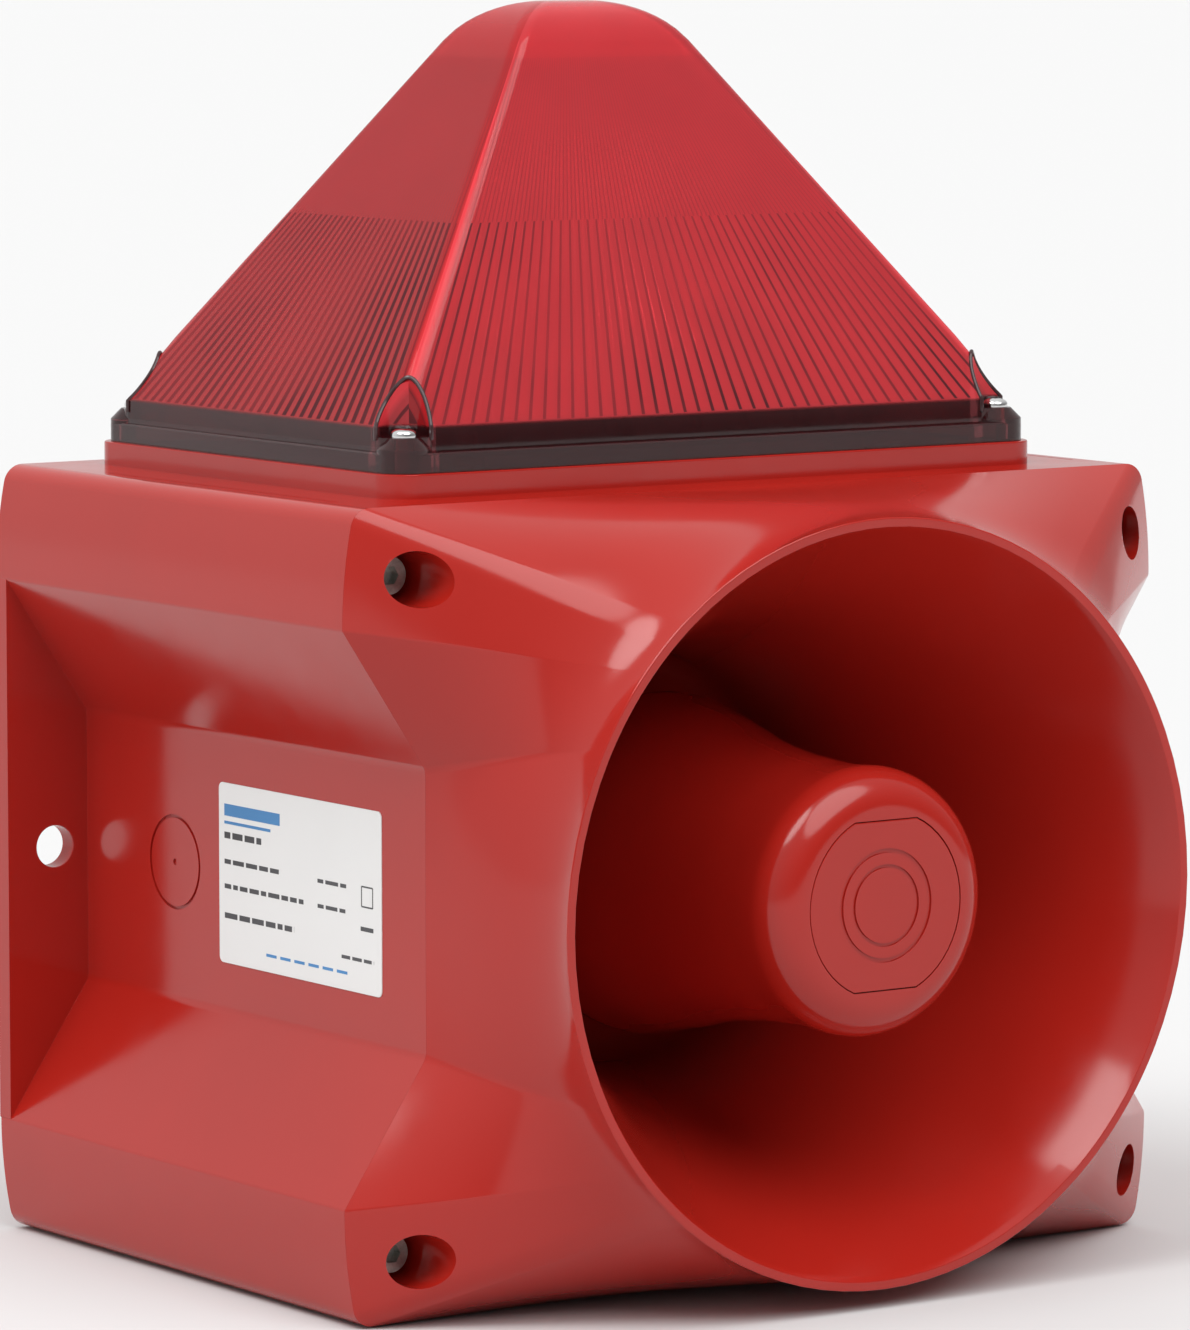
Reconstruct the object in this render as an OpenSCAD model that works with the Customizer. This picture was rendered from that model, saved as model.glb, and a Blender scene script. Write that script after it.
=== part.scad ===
// Wall-mounted alarm sounder with a flashing beacon on top.
// Millimetres. +Z is up, the horn faces -Y and the wall lies in the plane y = 0.
// The origin is the centre of the wall-fixing pattern on the back face.
// "Depth" below always means distance forward from the wall, so depth d is y = -d.

/* [Housing] */
// Overall width of the housing
body_w = 230; // [226:1:234]
// Overall height of the housing
body_h = 184; // [182:1:187]
// Depth of the joint between rear housing and front cover
body_d = 152; // [150:1:154]
// Depth of the side recesses, measured inward from the side faces
notch_d = 22; // [20:1:23]
// Half height of a side recess at its outer edge
notch_out = 65; // [63:1:66]
// Half height of a side recess at its floor
notch_in = 32.5; // [30:0.5:34]
// Radius of the slightly bowed ear sides
side_r = 115; // [110:5:130]
// Radius of the long outer corners
corner_r = 5; // [4:0.5:6]
// Wall thickness of the rear housing
wall = 3; // [2.8:0.1:3.2]

/* [Fixings] */
// Thickness of the two wall flanges
flange_t = 5; // [4:0.5:6]
// Distance of each wall hole from the centre line
wall_hole_x = 102; // [101:0.5:103]
// Diameter of the wall holes
wall_hole_dia = 10; // [8:0.5:11]
// Distance of the cover screws from the centre line
screw_x = 101.2; // [100.8:0.1:101.4]
// Height of the cover screws above and below the centre line
screw_z = 76.5; // [76:0.5:77]
// Diameter of the counterbore over each cover screw
counterbore_dia = 12.6; // [12:0.1:12.8]
// Diameter of the scored ring of the side cable knock-outs
knockout_dia = 22.6; // [20:0.2:24]
// Depth of the knock-out centres
knockout_depth = 45; // [42:1:48]

/* [Horn] */
// Depth of the horn mouth
mouth_d = 200; // [198:1:203]
// Outer radius of the horn mouth
mouth_r = 88; // [87:0.5:89]
// Width of the visible rim at the mouth
rim_w = 2.2; // [2:0.1:2.4]
// Radius of the flare at its back end
flare_back_r = 50; // [49:0.5:51]
// Radius of the open rear edge of the bullet
bullet_r = 40.5; // [40:0.5:41]
// Radius of the bullet nose
nose_r = 31; // [30.5:0.5:31.5]

/* [Beacon] */
// Width of the red beacon base
base_w = 185; // [184:1:186]
// Length of the beacon base from front to back
base_l = 131; // [130:1:132]
// Depth of the beacon centre
beacon_d = 73; // [72:1:74]
// Height of the top of the lens above the housing centre
lens_top = 202; // [200:1:204]
// Wall thickness of the lens
lens_t = 2.6; // [2.4:0.1:3]

/* [Settings inside] */
// Travel of one slider of the tone switch
slider_travel = 1.6; // [1.2:0.1:1.8]

/* [Hidden] */

$fn = 64;
eps = 0.01;

red = [0.72, 0.16, 0.13];
lens_red = [0.80, 0.05, 0.08, 0.6];
dark_rubber = [0.10, 0.10, 0.10];
steel = [0.72, 0.73, 0.75];
board_green = [0.10, 0.35, 0.20];
brass = [0.78, 0.62, 0.30];

// Joint between rear housing and cover
seam = 0.3;
housing_front = body_d - 0.5;
cover_back = housing_front + seam;
shelf_t = 3;
gasket_t = 1.7;
gasket_in = 5;
gasket_out = wall - 0.4;
back_wall = 3.5;

// Outline resolution
side_steps = 5;
corner_steps = 4;

// Mouth angles, from the horizontal, where the four edge lines of each ear end
floor_angle = 27.5;
lower_angle = 41;
upper_angle = 51;

// Cover screws
screw_r = 2.5;
head_r = 4.25;
head_t = 4;
head_seat = 145;
seal_t = 1;
tube_r = 7.6;
boss_r = 6.5;
boss_front = head_seat - 2.6;
insert_r = 3.5;
insert_l = 11;
fit = 0.05;

// Horn
bell_lip = 196.5;
flare_t = 2;
flare_back = 92;
bell_power = 1.8;
throat_r = 11;
horn_plate = 74;
bullet_back = 108;
bullet_front = mouth_d - 0.5;
bullet_t = 2.2;
cap_r = 21.2;
cap_flat = 19.3;
cap_t = 1.8;
tube_front = 168;
tube_outer = 19;
tube_wall = 2;

// Driver, counted as depths
driver_r = 38;
front_r = 50;
driver_screw_r = 45.5;
plate_back = 47;
plate_t = 5;
front_back = plate_back + plate_t;
magnet_back = 31;
yoke_back = 25;
cap_outer_r = driver_r + 3;
chamber_r = 26;
coil_r = 18;
coil_t = 0.5;
gap = 0.8;
diaphragm_depth = 54;
plug_back = 62;
plug_l = 11;

// Beacon
base_bottom = body_h / 2;
base_top = base_bottom + 5.5;
base_floor = base_bottom + 3;
base_wall = 6;
flange_edge = 1.6;
boss_corner = 6.3;
lens_flange_w = base_w - 2 * flange_edge;
lens_flange_l = base_l - 2 * flange_edge;
lens_x = lens_flange_w / 2 - boss_corner;
lens_y = lens_flange_l / 2 - boss_corner;
lens_insert_r = 2.2;
lens_insert_l = 7;
m3 = 1.5;
m3_clear = 1.7;
flange_top = base_top + 4.5;
ledge = base_top + 7.8;
boss_chamfer = 2.5;
boss_edge = ledge - boss_chamfer;
skirt_top = base_top + 10;
skirt_w = 179;
skirt_l = 120;
side_flat = 6.4;
side_top_r = 24;
front_flat = 1.4;
front_top_r = 17;
peg_r = 4.6;
peg_bottom = base_bottom - 10;
gasket_h = 1;
base_corner_r = 8;
base_screw_x = 60;
base_screw_y = 46;
groove_w = 159;
groove_l = 105;
groove_t = 4;
wire_hole_r = 14;

// Main board
board_depth = 9;
board_t = 1.6;
board_front = board_depth + board_t;
board_w = 156;
board_h = 146;
board_post_x = 71;
board_post_z = 66;
board_post_r = 4;
board_screw_r = 1.5;
terminal_ways = 8;
terminal_pitch = 7.5;
terminal_w = terminal_ways * terminal_pitch;
terminal_z = -58;
terminal_l = 14;
terminal_h = 17;
terminal_screw_depth = board_front + 12;
choke_x = 58;
choke_z = -48;
reservoir_x = [-62, -38];
reservoir_z = 56;
sink_x = 10;
sink_z = 58;
sink_w = 52;
sink_l = 32;
sink_t = 3;
fin_t = 2;
fin_h = 10;
fin_count = 6;

// Flash unit
flash_board_z = base_floor + 4;
flash_board_w = 118;
flash_board_l = 84;
flash_post_x = 54;
flash_post_y = 37;
flash_foot = flash_board_z + board_t;
holder_top = 148;
glass_r = 3;
tube_leg_x = 9;
tube_leg_l = 31;
flash_cap_r = 11;
flash_cap_l = 40;

// Settings
switch_x = -60;
switch_z = -46;
switch_pitch = 2.54;
slider_count = 6;
switch_w = slider_count * switch_pitch + 2;
volume_x = -60;
volume_z = -24;

// ---------- helpers ----------

// Places a shape drawn in X and Y so that its own +Z runs forward from the given depth
module forward(depth, x = 0, z = 0) {
    translate([x, -depth, z]) rotate([90, 0, 0]) children();
}

module at_beacon(z = 0) {
    translate([0, -beacon_d, z]) children();
}

module four(x, y) {
    for (sx = [-1, 1], sy = [-1, 1]) translate([sx * x, sy * y, 0]) children();
}

module ring(outer, inner, height) {
    difference() {
        cylinder(r = outer, h = height);
        translate([0, 0, -eps]) cylinder(r = inner, h = height + 2 * eps);
    }
}

module round_rect(w, l, r) {
    square([w, l - 2 * r], center = true);
    square([w - 2 * r, l], center = true);
    four(w / 2 - r, l / 2 - r) circle(r = r);
}

module round_box(w, l, r, h) {
    linear_extrude(h) round_rect(w, l, r);
}

function arc(cx, cy, r, a0, a1, n) =
    [for (i = [0:n]) let (a = a0 + (a1 - a0) * i / n) [cx + r * cos(a), cy + r * sin(a)]];

function mix(a, b, t) = a + (b - a) * t;

function mirrored(pts) = [for (i = [len(pts) - 1:-1:0]) [-pts[i][0], pts[i][1]]];

// Rise of the sloping recess wall when the outline is drawn in by w
function slope_rise(w) =
    let (dz = notch_out - notch_in) w * (norm([notch_d, dz]) - dz) / notch_d;

// Ear edge in the right upper quarter, drawn in by w: bowed side, then the corner
function ear(w) =
    let (cx = body_w / 2 - side_r, r = side_r - w, cr = max(corner_r - w, 1))
    let (zc = body_h / 2 - w - cr, xc = cx + sqrt(pow(r - cr, 2) - pow(zc - notch_out, 2)))
    let (a0 = asin(slope_rise(w) / r), a1 = atan2(zc - notch_out, xc - cx))
    let (side = arc(cx, notch_out, r, a0, a1, side_steps))
    let (turn = arc(xc, zc, cr, a1, 90, corner_steps))
    concat(side, [for (i = [1:corner_steps]) turn[i]]);

function recess_corner(w) = [body_w / 2 - notch_d - w, notch_in + slope_rise(w)];

// Whole outline with both recesses, anticlockwise
function outline(w) =
    let (q = concat([recess_corner(w)], ear(w)), top = concat(q, mirrored(q)))
    concat(top, [for (p = top) -p]);

// Outline of the wall flange, without recesses
function flange_outline() =
    let (q = ear(0), top = concat(q, mirrored(q)))
    concat(top, [for (p = top) -p]);

module slab(w, d0, d1) {
    forward(d0) linear_extrude(d1 - d0) polygon(outline(w));
}

module at_screws(depth) {
    for (sx = [-1, 1], sz = [-1, 1]) forward(depth, sx * screw_x, sz * screw_z) children();
}

module at_posts(depth) {
    for (sx = [-1, 1], sz = [-1, 1])
        forward(depth, sx * board_post_x, sz * board_post_z) children();
}

// ---------- rear housing ----------

module rear_housing() {
    color(red) difference() {
        union() {
            difference() {
                slab(0, 0, housing_front);
                slab(wall, back_wall, housing_front + 1);
            }
            forward(0) linear_extrude(flange_t) polygon(flange_outline());
            difference() {
                slab(wall - 0.5, housing_front - gasket_t - shelf_t, housing_front - gasket_t);
                slab(gasket_in, back_wall + 1, housing_front + 1);
            }
            at_screws(back_wall - 1) cylinder(r = boss_r, h = boss_front - back_wall + 1);
            for (sx = [-1, 1], sz = [-1, 1]) forward(back_wall - 1, sx * (screw_x + 8), sz * screw_z)
                translate([-4, -1, 0]) cube([8, 2, 120]);
            at_posts(back_wall - 1) cylinder(r = board_post_r, h = board_depth - back_wall + 1);
        }
        slab(gasket_out, housing_front - gasket_t, housing_front + 1);
        for (sx = [-1, 1]) {
            forward(-1, sx * wall_hole_x) cylinder(d = wall_hole_dia, h = flange_t + 2);
            translate([sx * (body_w / 2 - notch_d), -knockout_depth, 0])
                rotate([0, 90, 0]) translate([0, 0, -0.7]) ring(knockout_dia / 2,
                    knockout_dia / 2 - 0.9, 1.4);
            translate([sx * (body_w / 2 - notch_d), -knockout_depth, 0])
                rotate([0, 90, 0]) cylinder(r = 0.8, h = 1.4, center = true);
        }
        at_screws(boss_front - insert_l) cylinder(r = insert_r + fit, h = insert_l + 1);
        at_screws(boss_front - 22) cylinder(r = screw_r + 0.4, h = 22);
        at_posts(back_wall + 1) cylinder(r = board_screw_r + fit, h = board_depth);
        at_beacon(base_bottom - wall - 1) cylinder(r = wire_hole_r + 2, h = wall + 2);
        at_beacon(base_bottom - wall - 1) four(lens_x, lens_y)
            cylinder(r = peg_r + 0.3, h = wall + 2);
        at_beacon(base_bottom - wall - 1) four(base_screw_x, base_screw_y)
            cylinder(r = m3 + fit, h = wall + 2);
    }
}

module cover_inserts() {
    color(brass) at_screws(boss_front - insert_l) ring(insert_r, screw_r + fit, insert_l);
}

module cover_gasket() {
    color(dark_rubber) difference() {
        slab(gasket_out + fit, housing_front - gasket_t, cover_back);
        slab(gasket_in, housing_front - gasket_t - 1, cover_back + 1);
    }
}

module rating_label() {
    color("white") translate([-body_w / 2 + notch_d - 0.3, -99.5, 0]) rotate([0, 90, 0])
        linear_extrude(0.3) round_rect(42.4, 69, 1.5);
}

// ---------- main board ----------

module main_board() {
    color(board_green) difference() {
        forward(board_depth) linear_extrude(board_t) round_rect(board_w, board_h, 3);
        at_posts(board_depth - 1) cylinder(r = board_screw_r + 0.2, h = board_t + 2);
    }
}

module board_screws() {
    start = back_wall + 1.5;
    color(steel) at_posts(start) {
        cylinder(r = board_screw_r, h = board_front - start);
        translate([0, 0, board_front - start]) cylinder(r = 2.9, h = 2.2);
    }
}

function terminal_x(i) = (i + 0.5) * terminal_pitch - terminal_w / 2;

module terminal_block() {
    bottom = terminal_z - terminal_l / 2;
    color([0.25, 0.45, 0.30]) difference() {
        forward(board_front) translate([-terminal_w / 2, bottom, 0])
            cube([terminal_w, terminal_l, terminal_h]);
        for (i = [0:terminal_ways - 1]) {
            forward(terminal_screw_depth, terminal_x(i), terminal_z + 2) cylinder(r = 2.4, h = 6);
            forward(board_front + 3, terminal_x(i), bottom - 1) translate([-2.2, 0, 0])
                cube([4.4, 9, 5]);
        }
    }
}

module terminal_screws() {
    color(steel) for (i = [0:terminal_ways - 1])
        forward(terminal_screw_depth, terminal_x(i), terminal_z + 2) difference() {
            cylinder(r = 2.2, h = 3);
            translate([-3, -0.4, 2.2]) cube([6, 0.8, 2]);
        }
}

module choke() {
    color([0.65, 0.40, 0.20]) forward(board_front, choke_x, choke_z) ring(15, 6, 13);
}

module reservoir_capacitors() {
    color([0.12, 0.14, 0.30]) for (x = reservoir_x)
        forward(board_front, x, reservoir_z) cylinder(r = 10.5, h = 34);
}

module heat_sink() {
    fin_step = (sink_w - fin_t) / (fin_count - 1);
    color([0.75, 0.76, 0.78]) forward(board_front, sink_x, sink_z) {
        cube([sink_w, sink_t, sink_l]);
        for (i = [0:fin_count - 1]) translate([i * fin_step, sink_t - 0.5, 0])
            cube([fin_t, fin_h, sink_l]);
    }
}

module power_transistors() {
    body = [10, 4.6, 16];
    color([0.15, 0.15, 0.16]) for (x = [8, 34])
        forward(board_front + 4, sink_x + x, sink_z - body[1]) cube(body);
}

// ---------- settings ----------

function slider_x(i) = switch_x + (i - (slider_count + 1) / 2) * switch_pitch;

module tone_switch() {
    color([0.70, 0.12, 0.10]) difference() {
        forward(board_front, switch_x, switch_z) translate([-switch_w / 2, -5, 0])
            cube([switch_w, 10, 6]);
        for (i = [1:slider_count]) forward(board_front + 2.5, slider_x(i), switch_z)
            translate([-0.9, -2.3, 0]) cube([1.8, 4.6, 4]);
    }
}

module slider(i) {
    color("white") forward(board_front + 2.8, slider_x(i), switch_z - slider_travel / 2)
        translate([-0.6, -1.1, 0]) cube([1.2, 2.2, 4]);
}

module slider_1() { slider(1); }
module slider_2() { slider(2); }
module slider_3() { slider(3); }
module slider_4() { slider(4); }
module slider_5() { slider(5); }
module slider_6() { slider(6); }

module volume_control() {
    color([0.15, 0.30, 0.55]) difference() {
        forward(board_front, volume_x, volume_z) translate([-5, -5, 0]) cube([10, 10, 5]);
        forward(board_front + 2, volume_x, volume_z) cylinder(r = 3.6, h = 4);
    }
}

module volume_knob() {
    color("white") forward(board_front + 2.3, volume_x, volume_z) difference() {
        cylinder(r = 3.3, h = 4.7);
        translate([-0.5, -2, 3.7]) cube([1, 6, 2]);
    }
}

// ---------- beacon ----------

module beacon_base() {
    color(red) at_beacon() difference() {
        union() {
            difference() {
                translate([0, 0, base_bottom]) round_box(base_w, base_l, base_corner_r,
                    base_top - base_bottom);
                translate([0, 0, base_floor]) round_box(base_w - 2 * base_wall,
                    base_l - 2 * base_wall, base_corner_r / 2, 10);
            }
            four(lens_x, lens_y) translate([0, 0, peg_bottom])
                cylinder(r = peg_r, h = base_top - peg_bottom);
            four(flash_post_x, flash_post_y) translate([0, 0, base_floor - 1])
                cylinder(r = 3.5, h = flash_board_z - base_floor + 1);
        }
        translate([0, 0, base_top - gasket_h]) round_box(lens_flange_w - 0.6, lens_flange_l - 0.6,
            boss_corner, 5);
        translate([0, 0, base_bottom - 1]) difference() {
            round_box(groove_w, groove_l, 6, 1 + gasket_h);
            round_box(groove_w - 2 * groove_t, groove_l - 2 * groove_t, 3, 3);
        }
        translate([0, 0, base_bottom - 1]) cylinder(r = wire_hole_r, h = 10);
        four(base_screw_x, base_screw_y) translate([0, 0, base_bottom - 1])
            cylinder(r = m3_clear + 0.5, h = 10);
        four(lens_x, lens_y) {
            translate([0, 0, base_top - gasket_h - lens_insert_l - 1])
                cylinder(r = lens_insert_r + fit, h = 10);
            translate([0, 0, peg_bottom + 2]) cylinder(r = m3_clear, h = 10);
        }
        four(flash_post_x, flash_post_y) translate([0, 0, base_floor - 1]) cylinder(r = 1.3, h = 10);
    }
}

module beacon_gasket() {
    color(dark_rubber) at_beacon(base_bottom) difference() {
        round_box(groove_w - 0.4, groove_l - 0.4, 6, gasket_h);
        translate([0, 0, -1]) round_box(groove_w - 2 * groove_t + 0.4,
            groove_l - 2 * groove_t + 0.4, 3, 3);
    }
}

module beacon_screws() {
    start = base_bottom - wall - 2;
    color(steel) at_beacon() four(base_screw_x, base_screw_y) {
        translate([0, 0, start]) cylinder(r = m3, h = base_floor - start);
        translate([0, 0, base_floor]) cylinder(r = 3.4, h = 2.4);
    }
}

module lens_inserts() {
    color(brass) at_beacon(base_top - gasket_h - lens_insert_l) four(lens_x, lens_y)
        ring(lens_insert_r, m3 + fit, lens_insert_l);
}

module lens_gasket() {
    color(dark_rubber) at_beacon(base_top - gasket_h) difference() {
        union() {
            difference() {
                round_box(lens_flange_w - 1, lens_flange_l - 1, boss_corner, gasket_h);
                translate([0, 0, -1]) round_box(base_w - 2 * base_wall + 1,
                    base_l - 2 * base_wall + 1, base_corner_r / 2, 3);
            }
            four(lens_x, lens_y) cylinder(r = peg_r, h = gasket_h);
        }
        four(lens_x, lens_y) translate([0, 0, -1]) cylinder(r = m3_clear + 0.1, h = 3);
    }
}

// Half profile of the pyramid seen along one face: a straight slope that passes through the top
// edge of the skirt, then a rounded top
function pyramid_profile(half, flat, r, w, bottom) =
    let (top = lens_top - w, cr = r - w, cz = top - cr)
    let (dx = half - w - flat, dz = skirt_top - cz)
    let (a = atan2(dz, dx) + acos(cr / norm([dx, dz])))
    concat([[half - w + (skirt_top - bottom) * tan(a), bottom]], arc(flat, cz, cr, a, 90, 8));

// Slab through the beacon, as wide as the profile and mirrored about its middle
module pyramid_slab(profile) {
    rotate([90, 0, 0]) linear_extrude(2 * base_w, center = true)
        polygon(concat(profile, [for (i = [len(profile) - 1:-1:0]) [-profile[i][0], profile[i][1]]]));
}

// Solid four-sided pyramid with a rounded top, drawn in by w on every side
module pyramid(w, bottom) {
    at_beacon() intersection() {
        pyramid_slab(pyramid_profile(skirt_w / 2, side_flat, side_top_r, w, bottom));
        rotate([0, 0, 90]) pyramid_slab(pyramid_profile(skirt_l / 2, front_flat, front_top_r, w, bottom));
        translate([0, 0, bottom]) round_box(skirt_w - 2 * w, skirt_l - 2 * w, 6 - w, 2 * lens_top);
    }
}

module lens() {
    color(lens_red) difference() {
        union() {
            difference() {
                pyramid(0, base_top);
                pyramid(lens_t, base_top - 1);
            }
            at_beacon(base_top) difference() {
                round_box(lens_flange_w, lens_flange_l, boss_corner, flange_top - base_top);
                translate([0, 0, -1]) round_box(skirt_w - 2 * lens_t, skirt_l - 2 * lens_t, 4, 8);
            }
            intersection() {
                pyramid(lens_t / 2, base_top);
                at_beacon(base_top) four(lens_x, lens_y) cylinder(r = boss_corner + 2.2, h = 30);
            }
            at_beacon(base_top) four(lens_x, lens_y) {
                cylinder(r = boss_corner, h = boss_edge - base_top);
                translate([0, 0, boss_edge - base_top]) cylinder(r1 = boss_corner,
                    r2 = boss_corner - boss_chamfer, h = boss_chamfer);
            }
        }
        at_beacon(ledge) four(lens_x, lens_y) cylinder(r = boss_corner, h = 40);
        at_beacon(base_top - 1) four(lens_x, lens_y) cylinder(r = m3_clear, h = 20);
    }
}

module lens_screws() {
    color(steel) at_beacon() four(lens_x, lens_y) {
        translate([0, 0, base_top - lens_insert_l]) cylinder(r = m3, h = ledge - base_top + lens_insert_l);
        translate([0, 0, ledge]) difference() {
            cylinder(r = 3, h = 2.2);
            translate([0, 0, 1]) cylinder(r = 1.2, h = 2, $fn = 6);
        }
    }
}

// ---------- flash unit ----------

module flash_board() {
    color(board_green) at_beacon(flash_board_z) difference() {
        round_box(flash_board_w, flash_board_l, 3, board_t);
        four(flash_post_x, flash_post_y) translate([0, 0, -1]) cylinder(r = 1.5, h = 4);
    }
}

module flash_board_screws() {
    start = base_floor + 0.5;
    color(steel) at_beacon() four(flash_post_x, flash_post_y) {
        translate([0, 0, start]) cylinder(r = 1.2, h = flash_foot - start);
        translate([0, 0, flash_foot]) cylinder(r = 2.4, h = 1.8);
    }
}

module tube_holder() {
    head_t = 5;
    color([0.12, 0.12, 0.13]) at_beacon() difference() {
        union() {
            translate([0, 0, flash_foot]) round_box(44, 34, 3, 4);
            translate([0, 0, flash_foot]) round_box(26, 12, 3, holder_top - flash_foot - 1);
            translate([0, 0, holder_top - head_t]) round_box(36, 24, 4, head_t);
        }
        for (sx = [-1, 1]) translate([sx * tube_leg_x, 0, holder_top - 12])
            cylinder(r = glass_r + 0.3, h = 20);
    }
}

module flash_tube() {
    start = holder_top - 11;
    color([0.85, 0.90, 0.95, 0.7]) at_beacon(start) {
        for (sx = [-1, 1]) translate([sx * tube_leg_x, 0, 0]) cylinder(r = glass_r, h = tube_leg_l);
        translate([0, 0, tube_leg_l]) rotate([90, 0, 0]) intersection() {
            rotate_extrude() translate([tube_leg_x, 0]) circle(r = glass_r);
            translate([-20, 0, -10]) cube([40, 20, 20]);
        }
    }
}

module trigger_coil() {
    color([0.30, 0.20, 0.12]) at_beacon(flash_foot) translate([0, 30, 0]) cylinder(r = 6, h = 16);
}

module flash_capacitors() {
    color([0.15, 0.15, 0.18]) at_beacon(flash_foot + flash_cap_r + 0.2) for (sx = [-1, 1])
        translate([sx * 38, -flash_cap_l / 2, 0]) rotate([-90, 0, 0])
            cylinder(r = flash_cap_r, h = flash_cap_l);
}

// ---------- front cover ----------

// Quarter of a loft ring: each entry pairs a point of the outline with a mouth angle
function quarter(w) =
    let (c = recess_corner(w), e = ear(w), n = len(e) - 1)
    concat(
        [for (i = [0:3]) [[c[0], c[1] * i / 4], floor_angle * i / 4]],
        [for (i = [0:3]) [mix(c, e[0], i / 4), mix(floor_angle, lower_angle, i / 4)]],
        [for (i = [0:n]) [e[i], mix(lower_angle, upper_angle, i / n)]],
        [for (i = [1:5]) [[e[n][0] * (1 - i / 6), e[n][1]], mix(upper_angle, 90, i / 6)]]);

// Ring of the loft at blend t between the outline drawn in by w and a circle
function loft_ring(w, r, depth, t) =
    let (q = quarter(w), n = len(q))
    let (right = [for (p = q) [mix(p[0][0], r * cos(p[1]), t), mix(p[0][1], r * sin(p[1]), t)]])
    let (mid = [[0, mix(body_h / 2 - w, r, t)]])
    let (left = [for (i = [n - 1:-1:1]) [-right[i][0], right[i][1]]])
    let (top = concat(right, mid, left))
    [for (p = concat(top, [for (p = top) -p])) [p[0], -depth, p[1]]];

outer_steps = [0, 0.2, 0.4, 0.6, 0.8, 0.93, 1];
inner_steps = [1, 0.75, 0.5, 0.25, 0];

// Two triangles for every step between neighbouring rings of n points
function skin(n, pairs) = [for (p = pairs, i = [0:n - 1], k = [0, 1])
    let (a = p[0] * n + i, b = p[0] * n + (i + 1) % n, c = p[1] * n + i, d = p[1] * n + (i + 1) % n)
    k == 0 ? [a, c, b] : [b, c, d]];

// Hollow cover: outer skin, rim, start of the bell, then the inner skin back to the joint
module cover_shell() {
    lip_r = mouth_r - rim_w + 0.3;
    rings = concat(
        [for (t = outer_steps) loft_ring(0, mouth_r, mix(cover_back, mouth_d, t), t)],
        [loft_ring(0, mouth_r - rim_w, mouth_d, 1), loft_ring(0, bell_r(bell_lip), bell_lip, 1)],
        [for (t = inner_steps) loft_ring(gasket_in, lip_r, mix(cover_back, bell_lip, t), t)]);
    m = len(rings);
    polyhedron([for (a = rings, p = a) p],
        skin(len(rings[0]), [for (j = [0:m - 1]) [j, (j + 1) % m]]));
}

// Solid that ends midway through the cover's wall, which trims the screw tubes
module cover_block() {
    rings = [for (t = inner_steps) loft_ring(2, mouth_r - 1.5, mix(cover_back, mouth_d - 2, t), t)];
    n = len(rings[0]);
    m = len(rings);
    front = n * m;
    polyhedron(concat([for (a = rings, p = a) p], [[0, rings[0][0][1], 0], [0, rings[m - 1][0][1], 0]]),
        concat(skin(n, [for (j = [0:m - 2]) [j + 1, j]]),
            [for (i = [0:n - 1]) [(i + 1) % n, i, front]],
            [for (i = [0:n - 1]) [(m - 1) * n + i, (m - 1) * n + (i + 1) % n, front + 1]]));
}

module front_cover() {
    color(red) difference() {
        union() {
            cover_shell();
            intersection() {
                cover_block();
                at_screws(cover_back - 1) cylinder(r = tube_r, h = 30);
            }
            at_screws(boss_front + seam) cylinder(r = tube_r, h = cover_back + 1 - boss_front - seam);
        }
        at_screws(head_seat) cylinder(d = counterbore_dia, h = 40);
        at_screws(boss_front - 1) cylinder(r = screw_r + 0.4, h = 10);
    }
}

// ---------- horn ----------

// Inner radius of the bell at a given depth
function bell_r(d) = flare_back_r
    + (mouth_r - rim_w - flare_back_r) * pow(max(d - flare_back, 0) / (mouth_d - flare_back), bell_power);

bell_depths = [for (i = [0:12]) mix(flare_back, bell_lip, i / 12)];

module at_driver_screws(depth) {
    for (a = [45:90:315]) forward(depth) rotate([0, 0, a]) translate([driver_screw_r, 0, 0]) children();
}

module horn_flare() {
    bowl_r = 14;
    inner = concat(
        [[throat_r + 4, horn_plate + 4]],
        arc(flare_back_r - bowl_r, horn_plate + 4 + bowl_r, bowl_r, -90, 0, 6),
        [for (i = [1:12]) [bell_r(bell_depths[i]), bell_depths[i]]]);
    outer = concat(
        [for (i = [12:-1:1]) [bell_r(bell_depths[i]) + flare_t, bell_depths[i]]],
        arc(flare_back_r - bowl_r, horn_plate + 4 + bowl_r, bowl_r + flare_t, 0, -50, 4),
        [[front_r, horn_plate], [throat_r + 4, horn_plate]]);
    color(red) difference() {
        forward(0) rotate_extrude() polygon(concat(inner, outer));
        at_driver_screws(horn_plate - 1) cylinder(r = 1.55, h = 4.2);
    }
}

// First stage of the horn: a cone clamped under the flare, and a straight tube on its spigot
stage_back = horn_plate + 8;
stage_front = horn_plate + 38;
throat_bore_r = tube_outer - tube_wall;
spigot_l = 2;

module throat_cone() {
    collar_back = horn_plate + 4;
    collar_r = throat_r + 7;
    spigot_r = tube_outer - tube_wall / 2 - fit;
    outside = [[throat_r + 4 - fit, horn_plate], [throat_r + 4 - fit, collar_back],
        [collar_r, collar_back], [collar_r, stage_back], [throat_r + 4, stage_back],
        [tube_outer - 0.3, stage_front - spigot_l], [spigot_r, stage_front - spigot_l],
        [spigot_r, stage_front + spigot_l]];
    inside = [[throat_bore_r, stage_front + spigot_l], [throat_bore_r, stage_front],
        [throat_r, stage_back], [throat_r, horn_plate]];
    color([0.45, 0.10, 0.08]) forward(0) rotate_extrude() polygon(concat(outside, inside));
}

module throat_tube() {
    socket_r = tube_outer - tube_wall / 2;
    color([0.45, 0.10, 0.08]) forward(0) rotate_extrude() polygon([
        [socket_r, stage_front - spigot_l], [tube_outer, stage_front - spigot_l],
        [tube_outer, tube_front], [throat_bore_r, tube_front],
        [throat_bore_r, stage_front + spigot_l + fit], [socket_r, stage_front + spigot_l + fit]]);
}

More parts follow.
